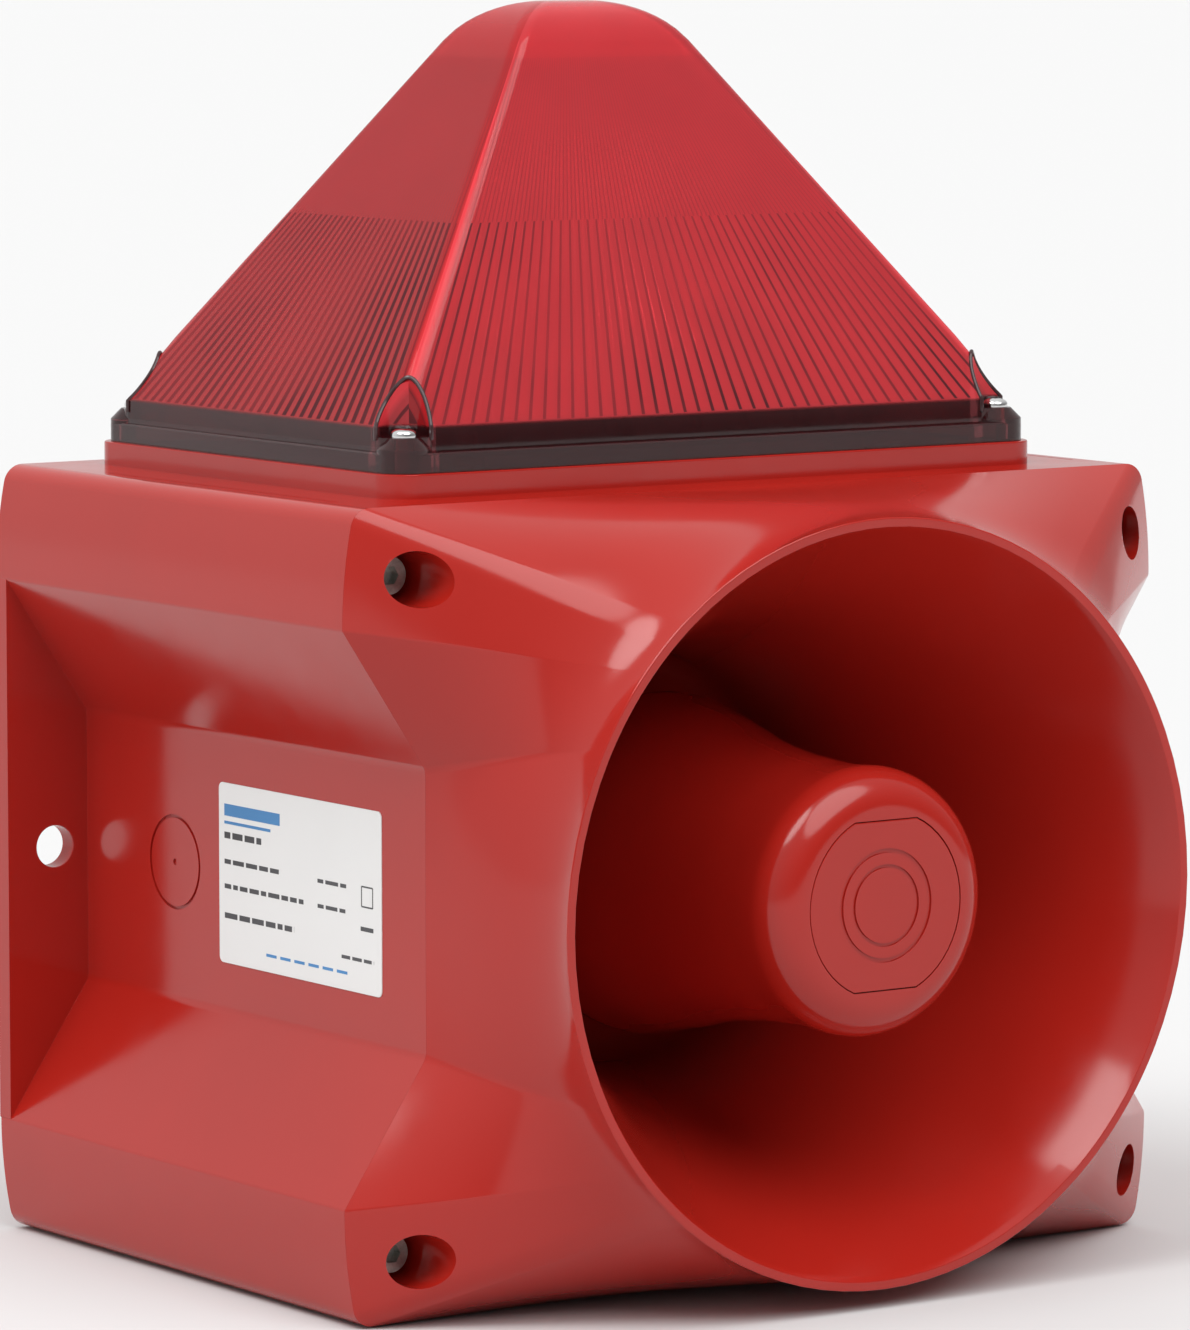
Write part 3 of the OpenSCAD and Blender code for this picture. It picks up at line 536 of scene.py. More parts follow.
def block_set(name, blocks):
    """One object of separate rectangular blocks, each given as two opposite corners."""
    verts, faces = [], []
    for lo, hi in blocks:
        n = len(verts)
        verts += [(x, y, z) for z in (lo[2], hi[2]) for x, y in rectangle(lo[0], hi[0], lo[1], hi[1])]
        faces += [tuple(n + i for i in f) for f in
                  ((3, 2, 1, 0), (4, 5, 6, 7), (0, 1, 5, 4), (1, 2, 6, 5), (2, 3, 7, 6), (3, 0, 4, 7))]
    return new_object(name, verts, faces)


def rectangle(x0, x1, y0, y1):
    return [(x0, y0), (x1, y0), (x1, y1), (x0, y1)]


def corners(x, y, cy=0.0):
    """The four points x to either side of the middle and y to either side of cy."""
    return [(sx * x, cy + sy * y) for sx in (-1, 1) for sy in (-1, 1)]


def rounded_rect(width, length, radius, cy=0.0, steps=8):
    points = []
    for k, (sx, sy) in enumerate(((1, 1), (-1, 1), (-1, -1), (1, -1))):
        for i in range(steps + 1):
            a = math.pi / 2 * (k + i / steps)
            points.append((sx * (width / 2 - radius) + radius * math.cos(a),
                           cy + sy * (length / 2 - radius) + radius * math.sin(a)))
    return points


def mix(a, b, t):
    return a + (b - a) * t


def spline(points, steps):
    """Smooth curve through points (Catmull-Rom)."""
    out = []
    for i in range(len(points) - 1):
        p0 = points[max(i - 1, 0)]
        p1, p2 = points[i], points[i + 1]
        p3 = points[min(i + 2, len(points) - 1)]
        for k in range(steps):
            t = k / steps
            out.append(tuple(0.5 * (2 * b + (c - a) * t + (2 * a - 5 * b + 4 * c - d) * t * t
                                    + (3 * b - a - 3 * c + d) * t ** 3)
                             for a, b, c, d in zip(p0, p1, p2, p3)))
    out.append(tuple(points[-1]))
    return out


# ---------- outline shared by the rear housing and the cover ----------

housing_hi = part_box("rear_housing")[1] / MM
HALF_W = housing_hi.x
HALF_H = housing_hi.z
NOTCH = 22.0
NOTCH_OUT = 65.0
NOTCH_IN = 32.5
SIDE_R = 115.0
CORNER_R = 5.0
FLOOR_ANGLE = 27.5
LOWER_ANGLE = 41.0
CORNER_ANGLE = 46.5
UPPER_ANGLE = 51.0
FOOT_EASE = 1.25
EDGE_EASE = 0.5


def slope_rise(w):
    dz = NOTCH_OUT - NOTCH_IN
    return w * (math.hypot(NOTCH, dz) - dz) / NOTCH


def ease_corner(a, corner, b, reach):
    """Replaces a corner of the quarter by a small curve; every point is (x, z, mouth angle)."""
    first = [mix(c, p, reach / math.hypot(a[0] - corner[0], a[1] - corner[1]))
             for c, p in zip(corner, a)]
    last = [mix(c, p, reach / math.hypot(b[0] - corner[0], b[1] - corner[1]))
            for c, p in zip(corner, b)]
    out = []
    for i in range(4):
        t = i / 3
        out.append(tuple((1 - t) ** 2 * f + 2 * t * (1 - t) * c + t * t * e
                         for f, c, e in zip(first, corner, last)))
    return out


def quarter(w):
    """Upper right quarter from the recess floor to the top: (x, z, mouth angle in degrees)."""
    corner_r = max(CORNER_R - w, 1.0)
    radius = SIDE_R - w
    cx = HALF_W - SIDE_R
    zc = HALF_H - w - corner_r
    xc = cx + math.sqrt((radius - corner_r) ** 2 - (zc - NOTCH_OUT) ** 2)
    a0 = math.asin(slope_rise(w) / radius)
    a1 = math.atan2(zc - NOTCH_OUT, xc - cx)
    side = []
    for i in range(13):
        a = mix(a0, a1, i / 12)
        side.append((cx + radius * math.cos(a), NOTCH_OUT + radius * math.sin(a),
                     mix(LOWER_ANGLE, CORNER_ANGLE, i / 12)))
    turn = []
    for i in range(1, 9):
        a = mix(a1, math.pi / 2, i / 8)
        turn.append((xc + corner_r * math.cos(a), zc + corner_r * math.sin(a),
                     mix(CORNER_ANGLE, UPPER_ANGLE, i / 8)))
    foot = (HALF_W - NOTCH - w, NOTCH_IN + slope_rise(w), FLOOR_ANGLE)
    floor = [(foot[0], foot[1] * i / 6, FLOOR_ANGLE * i / 6) for i in range(6)]
    slope = [tuple(mix(p, q, i / 8) for p, q in zip(foot, side[0])) for i in range(1, 8)]
    top = [(turn[-1][0] * (1 - i / 10), turn[-1][1], mix(UPPER_ANGLE, 90, i / 10))
           for i in range(1, 10)]
    ease_foot = ease_corner(floor[-1], foot, slope[0], FOOT_EASE)
    ease_edge = ease_corner(slope[-1], side[0], side[1], EDGE_EASE)
    return floor + ease_foot + slope + ease_edge + side[1:] + turn + top


def outline(w):
    """Closed outline drawn in by w, anticlockwise: (x, z, mouth angle)."""
    points = quarter(w)
    half = points + [(0.0, HALF_H - w, 90.0)] + [(-x, z, 180 - a) for x, z, a in points[:0:-1]]
    return half + [(-x, -z, a + 180) for x, z, a in half]


# ---------- rear housing ----------

HOUSING_FRONT = 151.75
WALL = 3.0
BACK_WALL = 3.5
FLANGE_T = 5.0
WALL_HOLE_X = 102.0
WALL_HOLE_R = 5.0
SCREW_X = 101.2
SCREW_Z = 76.5
BOSS_R = 6.5
BOSS_FRONT = 142.4
SHELF_BACK = 146.8
SHELF_FRONT = 149.8
GASKET_IN = 5.0
GASKET_OUT = 2.6
KNOCKOUT_DEPTH = 45.0
KNOCKOUT_R = 11.3
FLOOR_X = HALF_W - NOTCH
INSERT_BORE_R = 3.55
INSERT_BORE_L = 11.0
SCREW_RIB_FRONT = 120.0
BOARD_POST = (71, 66)
BOARD_POST_FRONT = 9.0
BASE_PEG = (84.6, 57.6)
PEG_HOLE_R = 4.9
WIRE_HOLE_R = 16.0
TOP_LINE = (104.8, 105.3)


def four_screws():
    return corners(SCREW_X, SCREW_Z)


def sideways_ring(name, side, outer, inner, sink):
    """Ring-shaped cutter round the knock-out's axis, sunk into a recess floor."""
    x = side * FLOOR_X
    rings = [[(x + s, -KNOCKOUT_DEPTH + r * cy, r * cz)
              for r, s in ((inner, -sink), (outer, -sink), (outer, sink), (inner, sink))]
             for cy, cz in circle(1, 64)]
    return loft(name, rings, wrap=True)


def make_housing():
    levels = [(0.6, 0.0), (0.18, 0.18), (0.0, 0.6), (0.0, 40.0), (0.0, 90.0), (0.0, HOUSING_FRONT),
              (GASKET_OUT, HOUSING_FRONT), (GASKET_OUT, SHELF_FRONT), (GASKET_IN, SHELF_FRONT),
              (GASKET_IN, SHELF_BACK), (WALL, SHELF_BACK), (WALL, BACK_WALL)]
    body = loft("rear_housing_shell", [at_depth(outline(w), depth) for w, depth in levels])
    for side in (-1, 1):
        tab = [(side * x, z) for x, z in (
            (FLOOR_X - 1.2, -NOTCH_IN - 1), (HALF_W - 1.0, -NOTCH_OUT - 1.2),
            (HALF_W, -NOTCH_OUT + 0.1), (HALF_W, NOTCH_OUT - 0.1),
            (HALF_W - 1.0, NOTCH_OUT + 1.2), (FLOOR_X - 1.2, NOTCH_IN + 1))]
        add(body, prism("tab", tab, 0.0, FLANGE_T))
    round_edges(body, lambda p: abs(-p.y - FLANGE_T) < 0.05 and abs(p.x) < HALF_W - 0.5
                and abs(p.z) < NOTCH_OUT - 0.5, 2.0, 4)
    for side in (-1, 1):
        carve(body, rod("hole", WALL_HOLE_R, -2, FLANGE_T + 3, side * WALL_HOLE_X, 0.0, 64))
        carve(body, sideways_ring("score", side, KNOCKOUT_R, KNOCKOUT_R - 0.8, 0.6))
        carve(body, sideways_ring("dot", side, 0.8, 0.02, 0.4))
        groove = rectangle(side * TOP_LINE[0], side * TOP_LINE[1], 36, 135)
        carve(body, upright("groove", groove, HALF_H - 0.4, HALF_H + 1))
    for x, z in four_screws():
        side = 1 if x > 0 else -1
        add(body, rod("boss", BOSS_R, BACK_WALL - 1, BOSS_FRONT, x, z, 48))
        rib = rectangle(x + side * 4, x + side * 12, z - 1, z + 1)
        add(body, prism("rib", rib, BACK_WALL - 1, SCREW_RIB_FRONT))
        carve(body, rod("bore", INSERT_BORE_R, BOSS_FRONT - INSERT_BORE_L, BOSS_FRONT + 1, x, z, 32))
    for x, z in corners(*BOARD_POST):
        add(body, rod("post", 4.0, BACK_WALL - 1, BOARD_POST_FRONT, x, z, 32))
    wires = rectangle(0.01, WIRE_HOLE_R, HALF_H - 5, HALF_H + 1)
    carve(body, lathe_upright("wire_hole", wires, 0, BEACON_D))
    for x, d in corners(*BASE_PEG, BEACON_D):
        carve(body, upright("peg_hole", circle(PEG_HOLE_R, 32, x, d), HALF_H - 5, HALF_H + 1))
    round_edges(body, lambda p: abs(math.hypot(abs(p.x) - WALL_HOLE_X, p.z) - WALL_HOLE_R) < 0.1
                and -p.y > FLANGE_T - 0.2, 0.4, 2)
    settle_red(body, "housing", "rear_housing")


# ---------- front cover ----------

COVER_BACK = 151.8
MOUTH_D = -(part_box("front_cover")[0] / MM).y
MOUTH_R = 88.0
RIM_W = 2.2
FLARE_BACK = 92.0
FLARE_BACK_R = 50.0
BELL_POWER = 1.8
BELL_LIP = 196.5
HEAD_SEAT = 145.0
COUNTERBORE_R = 6.3
TUBE_R = 7.6
TUBE_BACK = 142.7
SCREW_CLEAR_R = 2.9
FLARE_TURN = 0.55
FLARE_END_SLOPE = 0.4
# Depth of the hollow behind the rim, and the factor that makes it that deep at its lowest
RIM_DIP = 1.3
DIP_SCALE = 12.2
RIM_EDGE = 0.35


def bell_r(depth):
    share = max(depth - FLARE_BACK, 0.0) / (MOUTH_D - FLARE_BACK)
    return FLARE_BACK_R + (MOUTH_R - RIM_W - FLARE_BACK_R) * share ** BELL_POWER


def inward(t):
    """How far the cover has gone from the outline to the mouth circle; straight, then flaring."""
    slope = (1 - FLARE_END_SLOPE * (1 - FLARE_TURN) / 2) / (FLARE_TURN + (1 - FLARE_TURN) / 2)
    if t < FLARE_TURN:
        return slope * t
    u = (t - FLARE_TURN) / (1 - FLARE_TURN)
    run = 1 - FLARE_TURN
    return slope * FLARE_TURN + run * (slope * u + (FLARE_END_SLOPE - slope) * u * u / 2)


def cover_ring(points, radius, t):
    """Ring of the cover between outline and mouth, slightly hollow just behind the rim."""
    s = inward(t)
    hollow = RIM_DIP * DIP_SCALE * t ** 4 * (1 - t)
    depth = mix(COVER_BACK, MOUTH_D, t)
    ring = []
    for x, z, angle in points:
        a = math.radians(angle)
        px = mix(x, radius * math.cos(a), s)
        pz = mix(z, radius * math.sin(a), s)
        shrink = 1 - hollow / math.hypot(px, pz)
        ring.append((px * shrink, -depth, pz * shrink))
    return ring


def circle_ring(points, radius, depth):
    return [(radius * math.cos(math.radians(a)), -depth, radius * math.sin(math.radians(a)))
            for x, z, a in points]


def make_cover():
    outer = outline(0.0)
    inner = outline(GASKET_IN)
    rings = [cover_ring(outer, MOUTH_R, t)
             for t in [(i / 22) ** 0.9 for i in range(22)] + [0.993]]
    for r, depth in arc(MOUTH_R - RIM_EDGE, MOUTH_D - RIM_EDGE, RIM_EDGE, 0, 90, 3)[1:]:
        rings.append(circle_ring(outer, r, depth))
    rim_in = MOUTH_R - RIM_W
    rings.append(circle_ring(outer, rim_in + 0.25, MOUTH_D))
    rings.append(circle_ring(outer, rim_in + 0.05, MOUTH_D - 0.08))
    for i in range(1, 5):
        depth = mix(MOUTH_D - 0.3, BELL_LIP, i / 4)
        rings.append(circle_ring(outer, bell_r(depth), depth))
    for i in range(10, -1, -1):
        ring = cover_ring(inner, rim_in + 0.3, i / 10 * 0.999)
        rings.append([(x, -mix(COVER_BACK, BELL_LIP, i / 10), z) for x, y, z in ring])
    body = loft("front_cover_shell", rings, wrap=True)
    block_rings = [cover_ring(outline(2.0), MOUTH_R - 1.5, t)
                   for t in (0.0, 0.0, 0.2, 0.4, 0.6, 0.8, 1.0)]
    block_rings[0] = [(x, -HEAD_SEAT + 5, z) for x, y, z in block_rings[0]]
    block = loft("block", block_rings)
    for x, z in four_screws():
        tube = rod("tube", TUBE_R, TUBE_BACK, 190, x, z, 64)
        carve(tube, copy_of(block), "INTERSECT")
        add(body, tube)
        carve(body, rod("counterbore", COUNTERBORE_R, HEAD_SEAT, 200, x, z, 64))
        carve(body, rod("clear", SCREW_CLEAR_R, 140, 150, x, z, 32))
    bpy.data.objects.remove(block)
    for x, z in four_screws():
        round_edges(body, lambda p: abs(math.hypot(p.x - x, p.z - z) - COUNTERBORE_R) < 0.15
                    and -p.y > COVER_BACK, 0.35, 2)
    settle_red(body, "cover", "front_cover")


def copy_of(obj):
    return in_scene(obj.name, obj.data.copy())


# ---------- horn ----------

HORN_PLATE = 74.0
THROAT_R = 11.0
BULLET_FRONT = 199.5
NOSE_R = 31.0
NOSE_EDGE = 9.0
CAP_R = 21.2
CAP_FLAT = 19.3
CAP_T = 1.8
CAP_SEAM = 0.22
CAP_RINGS = ((13.0, 12.0), (9.4, 8.6))
HORN_PLATE_T = 4.0
BOWL_R = 14.0
CONE_STEP = 82.0
CONE_FRONT = 110.0
SPIGOT_FRONT = 114.0
SPIGOT_R = 18.0
TUBE_IN_R = 17.0
TUBE_OUT_R = 19.0
TUBE_FRONT = 168.0
FIT_GAP = 0.05
FLARE_T = 2.0


def arc(cx, cy, radius, a0, a1, steps):
    return [(cx + radius * math.cos(math.radians(mix(a0, a1, i / steps))),
             cy + radius * math.sin(math.radians(mix(a0, a1, i / steps)))) for i in range(steps + 1)]


def make_flare():
    depths = [mix(FLARE_BACK, BELL_LIP, i / 36) for i in range(1, 37)]
    floor = HORN_PLATE + HORN_PLATE_T
    profile = [(THROAT_R + 4, HORN_PLATE), (THROAT_R + 4, floor)]
    profile += arc(FLARE_BACK_R - BOWL_R, floor + BOWL_R, BOWL_R, -90, 0, 12)
    profile += [(bell_r(d), d) for d in depths]
    profile += [(bell_r(d) + FLARE_T, d) for d in reversed(depths)]
    profile += arc(FLARE_BACK_R - BOWL_R, floor + BOWL_R, BOWL_R + FLARE_T, 0, -50, 8)
    profile += [(FLARE_BACK_R, HORN_PLATE)]
    settle_red(lathe("horn_flare_shell", profile, count=192), "cover", "horn_flare")


BULLET_WAIST = [(39.6, 108), (40.4, 110), (40.5, 113), (39.3, 118), (37.6, 126), (35.6, 134),
                (33.8, 142), (32.4, 151), (31.2, 162), (30.6, 173), (30.4, 181), (31.0, 190.5)]
BULLET_T = 2.2
BULLET_BORE_R = 4.2
NOSE_T = 8.0


def make_bullet():
    waist = spline(BULLET_WAIST, 5)
    nose = arc(NOSE_R - NOSE_EDGE, BULLET_FRONT - NOSE_EDGE, NOSE_EDGE, 0, 90, 14)[1:]
    inside = [(r - BULLET_T, d) for r, d in reversed(waist) if d < 180]
    front = [(BULLET_BORE_R, BULLET_FRONT), (BULLET_BORE_R, BULLET_FRONT - NOSE_T),
             (20.0, BULLET_FRONT - NOSE_T)]
    body = lathe("horn_bullet_shell", waist + nose + front + inside, count=192)
    add(body, lathe("boss", rectangle(BULLET_BORE_R, 7, 170, BULLET_FRONT - 5), count=48))
    carve(body, prism("pocket", cap_outline(CAP_SEAM), BULLET_FRONT - CAP_T, BULLET_FRONT + 5))
    settle_red(body, "cover", "horn_bullet")


def cap_outline(grow):
    """Circle with a flat at the top and bottom."""
    radius = CAP_R + grow
    flat = CAP_FLAT + grow
    limit = math.asin(flat / radius)
    right = arc(0, 0, radius, -math.degrees(limit), math.degrees(limit), 20)
    return right + [(-x, -z) for x, z in right]


def make_cap():
    rings = []
    for grow, depth in ((0.0, BULLET_FRONT - CAP_T), (0.0, BULLET_FRONT - 0.25),
                        (-0.08, BULLET_FRONT - 0.08), (-0.3, BULLET_FRONT)):
        rings.append(at_depth(cap_outline(grow), depth))
    cap = loft("nose_cap_disc", rings)
    for outer, inner in CAP_RINGS:
        profile = rectangle(inner, outer, BULLET_FRONT - 0.4, BULLET_FRONT + 1)
        carve(cap, lathe("ring", profile, count=96))
    settle_red(cap, "cover", "nose_cap")


def make_throat():
    neck, spigot = THROAT_R + 4 - FIT_GAP, SPIGOT_R - FIT_GAP
    floor = HORN_PLATE + HORN_PLATE_T
    profile = [(neck, HORN_PLATE), (neck, floor), (SPIGOT_R, floor), (SPIGOT_R, CONE_STEP),
               (15, CONE_STEP), (18.7, CONE_FRONT), (spigot, CONE_FRONT), (spigot, SPIGOT_FRONT),
               (TUBE_IN_R, SPIGOT_FRONT), (TUBE_IN_R, SPIGOT_FRONT - 2), (THROAT_R, CONE_STEP),
               (THROAT_R, HORN_PLATE)]
    cone = lathe("throat_cone_shell", profile, count=96)
    settle(cone, "cover", "dark_red", "dark_red_plastic", ["throat_cone"])
    socket = SPIGOT_FRONT + FIT_GAP
    profile = [(SPIGOT_R, CONE_FRONT), (TUBE_OUT_R, CONE_FRONT), (TUBE_OUT_R, TUBE_FRONT - 0.6),
               (TUBE_OUT_R - 0.4, TUBE_FRONT), (TUBE_IN_R + 0.4, TUBE_FRONT),
               (TUBE_IN_R, TUBE_FRONT - 0.6), (TUBE_IN_R, socket), (SPIGOT_R, socket)]
    tube = lathe("throat_tube_shell", profile, count=96)
    settle(tube, "cover", "dark_red", "dark_red_plastic", ["throat_tube"])


# ---------- beacon base and lens ----------

base_lo, base_hi = (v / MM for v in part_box("beacon_base"))
lens_lo, lens_hi = (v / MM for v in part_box("lens"))
BASE_W = base_hi.x - base_lo.x
BASE_L = base_hi.y - base_lo.y
BASE_BOTTOM = HALF_H
BASE_TOP = BASE_BOTTOM + 5.5
FLANGE_TOP = BASE_TOP + 4.5
LEDGE = BASE_TOP + 7.8
SKIRT_TOP = BASE_TOP + 10.0
LENS_TOP = lens_hi.z
LENS_W = lens_hi.x - lens_lo.x
LENS_L = lens_hi.y - lens_lo.y
FLASH_POST = (54, 37)
BASE_CORNER_R = 8.0
BASE_WIRE_R = 14.0
PEG_R = 4.6
INSERT_SEAT_R = 2.25
LENS_HOLE_R = 1.7
SKIRT_X = 89.5
SKIRT_Y = 60.0
SKIRT_R = 6.0
# Half length of the flat top and radius of the rounding towards the end and the long faces
SIDE_TOP = (6.4, 24.0)
FRONT_TOP = (1.4, 17.0)
RIDGE_R = 3.2
LENS_T = 2.6
NICHE_R = 6.3
NICHE_DOME = 113.0
NICHE_RISE = 12.0
LENS_X = LENS_W / 2 - NICHE_R
LENS_Y = LENS_L / 2 - NICHE_R
# Radius of the dark bars that paint shade along the niche edges
EDGE_SHADE_BAR_R = 0.5
RIB_BOTTOM = FIELD_LOW / MM
RIB_STEP = FIELD_STEP / MM
RIB_TOP = FIELD_HIGH / MM
FRONT_RIBS = FRONT_FIELD[2]
SIDE_RIBS = SIDE_FIELD[2]
RIB_DEPTH = 0.9
FINE_DEPTH = 0.25
# How softly the ridge between two sloping faces is rounded in slope_height
RIDGE_EASE = 1.6


def lens_corners():
    return corners(LENS_X, LENS_Y, BEACON_D)


def make_base():
    rings = []
    for w, z in ((0.0, BASE_BOTTOM), (0.0, BASE_TOP - 0.4), (0.12, BASE_TOP - 0.12), (0.4, BASE_TOP)):
        points = rounded_rect(BASE_W - 2 * w, BASE_L - 2 * w, BASE_CORNER_R - w, BEACON_D)
        rings.append(at_height(points, z))
    body = loft("beacon_base_plinth", rings)
    pocket = rounded_rect(BASE_W - 12, BASE_L - 12, 4, BEACON_D)
    carve(body, upright("pocket", pocket, BASE_BOTTOM + 3, BASE_TOP + 2))
    ledge = rounded_rect(LENS_W - 0.6, LENS_L - 0.6, NICHE_R, BEACON_D)
    carve(body, upright("ledge", ledge, BASE_TOP - 1, BASE_TOP + 2))
    carve(body, upright("wires", circle(BASE_WIRE_R, 48, 0, BEACON_D), BASE_BOTTOM - 1, BASE_TOP))
    for x, d in lens_corners():
        add(body, upright("peg", circle(PEG_R, 32, x, d), BASE_BOTTOM - 10, BASE_TOP - 1))
        carve(body, upright("seat", circle(INSERT_SEAT_R, 24, x, d), BASE_TOP - 9, BASE_TOP + 2))
    for x, d in corners(*FLASH_POST, BEACON_D):
        add(body, upright("post", circle(3.5, 32, x, d), BASE_BOTTOM + 2, BASE_BOTTOM + 7))
    settle_red(body, "housing", "beacon_base")


def face_tangent(half, top, w):
    """Point (half size, z) where the sloping face that starts at half meets its rounded top."""
    flat, radius = top[0], top[1] - w
    dx = half - w - flat
    dz = SKIRT_TOP - (LENS_TOP - top[1])
    a = math.atan2(dz, dx) + math.acos(radius / math.hypot(dx, dz))
    return flat + radius * math.cos(a), LENS_TOP - top[1] + radius * math.sin(a)


def half_size(half, top, w, z):
    """Half width of the lens at height z on the face that starts at half."""
    rt, zt = face_tangent(half, top, w)
    if z <= SKIRT_TOP:
        return half - w
    if z <= zt:
        return mix(half - w, rt, (z - SKIRT_TOP) / (zt - SKIRT_TOP))
    radius = top[1] - w
    rise = min(z - (LENS_TOP - top[1]), radius - 1e-6)
    return top[0] + math.sqrt(radius * radius - rise * rise)


def section(z, w, front, side):
    """Section of the lens at height z, drawn in by w: points spaced evenly over each face.
    Each entry is (x, offset from the beacon centre towards the front, normal x, normal y)."""
    hx, hy = half_size(SKIRT_X, SIDE_TOP, w, z), half_size(SKIRT_Y, FRONT_TOP, w, z)
    share = min(max((z - SKIRT_TOP) / 14.0, 0.0), 1.0)
    r = min(mix(SKIRT_R, RIDGE_R, share) - 0.5 * w, hx * 0.9, hy * 0.9)
    out = []
    for count, along, across, turn in ((front, hx - r, hy, 0), (side, hy - r, hx, 1),
                                       (front, hx - r, hy, 2), (side, hy - r, hx, 3)):
        bend = r * math.pi / 4
        total = 2 * (along + bend)
        for i in range(count):
            s = total * i / count
            if s < bend:
                a = -math.pi / 4 + s / r
                p = (-along + r * math.sin(a), across - r + r * math.cos(a))
                n = (math.sin(a), math.cos(a))
            elif s > total - bend:
                a = (s - total + bend) / r
                p = (along + r * math.sin(a), across - r + r * math.cos(a))
                n = (math.sin(a), math.cos(a))
            else:
                p, n = (-along + s - bend, across), (0.0, 1.0)
            for _ in range(turn):
                p, n = (p[1], -p[0]), (n[1], -n[0])
            out.append((p[0], p[1], n[0], n[1]))
    return out


def lens_levels(w, bottom):
    tops = [face_tangent(SKIRT_X, SIDE_TOP, w)[1], face_tangent(SKIRT_Y, FRONT_TOP, w)[1]]
    levels = [bottom, SKIRT_TOP - w * 0.4, RIB_BOTTOM - 0.1, RIB_BOTTOM + 0.1, RIB_STEP - 0.1,
              RIB_STEP + 0.1, RIB_TOP - 0.1, RIB_TOP + 0.1]
    levels += [mix(SKIRT_TOP, RIB_TOP, i / 11) for i in range(1, 11)]
    levels += tops
    centre = LENS_TOP - SIDE_TOP[1]
    radius = SIDE_TOP[1] - w
    a0 = math.asin((max(tops) - centre) / radius)
    levels += [centre + radius * math.sin(mix(a0, math.pi / 2, (i / 10) ** 0.8))
               for i in range(1, 11)]
    return sorted(levels)


def rib_profile(u):
    """Height of the ribs, 0 to 1, at u ribs along a face: rounded crests and sharp valleys."""
    return abs(math.sin(math.pi * u))


def lens_solid(name, w, bottom, ribs):
    per_rib = 6 if ribs else 2
    front, side = FRONT_RIBS * per_rib, SIDE_RIBS * per_rib
    rings = []
    for z in lens_levels(w, bottom):
        depth = 0.0
        if ribs and RIB_BOTTOM < z < RIB_TOP:
            depth = RIB_DEPTH if z < RIB_STEP else FINE_DEPTH
        ring = []
        for k, (x, y, nx, ny) in enumerate(section(z, w, front, side)):
            lift = depth * rib_profile(k / per_rib)
            ring.append((x + nx * lift, -BEACON_D - y - ny * lift, z))
        rings.append(ring)
    return loft(name, rings)


def sweep(name, path, radius):
    """Round bar along a path of points; both ends are closed."""
    points = [Vector(p) for p in path]
    rings = []
    side = Vector((0, 0, 1)).cross(points[1] - points[0])
    if side.length < 1e-6:
        side = Vector((1, 0, 0))
    for i, point in enumerate(points):
        ahead = (points[min(i + 1, len(points) - 1)] - points[max(i - 1, 0)]).normalized()
        side = (side - ahead * side.dot(ahead)).normalized()
        up = ahead.cross(side)
        rings.append([point + radius * (side * c + up * s) for c, s in circle(1, 8)])
    return loft(name, rings)


def slope_height(x, offset):
    """Height of the sloping faces over a point given from the beacon's centre."""
    heights = []
    for value, half, top in ((abs(x), SKIRT_X, SIDE_TOP), (abs(offset), SKIRT_Y, FRONT_TOP)):
        rt, zt = face_tangent(half, top, 0.0)
        heights.append(SKIRT_TOP + (half - value) / (half - rt) * (zt - SKIRT_TOP))
    return -RIDGE_EASE * math.log(sum(math.exp(-h / RIDGE_EASE) for h in heights))


def niche_radius(z):
    """Radius of the arched niche over a lens screw: straight, then drawn in to a dome."""
    rise = max(z - NICHE_DOME, 0.0) / NICHE_RISE
    return (NICHE_R - 0.3) * math.sqrt(max(1.0 - rise * rise, 0.0))


def niche_edge_shade_path(sx, sy):
    """Path of the dark bar round the arch, painted shade along the edge where the niche leaves the
    sloping faces.
    """
    first = math.pi - math.asin((SKIRT_Y - LENS_Y) / NICHE_R)
    last = 2 * math.pi - math.acos((SKIRT_X - LENS_X) / NICHE_R)
    path = []
    for i in range(41):
        a = mix(first, last, i / 40)
        low, high = LEDGE, NICHE_DOME + NICHE_RISE
        for _ in range(30):
            z = (low + high) / 2
            r = niche_radius(z) + 0.35
            if slope_height(LENS_X + r * math.cos(a), LENS_Y + r * math.sin(a)) > z:
                low = z
            else:
                high = z
        path.append((sx * (LENS_X + r * math.cos(a)),
                     -BEACON_D - sy * (LENS_Y + r * math.sin(a)), z))
    first, last = [(x, y, LEDGE - 0.6) for x, y, z in (path[0], path[-1])]
    return [first] + path + [last]


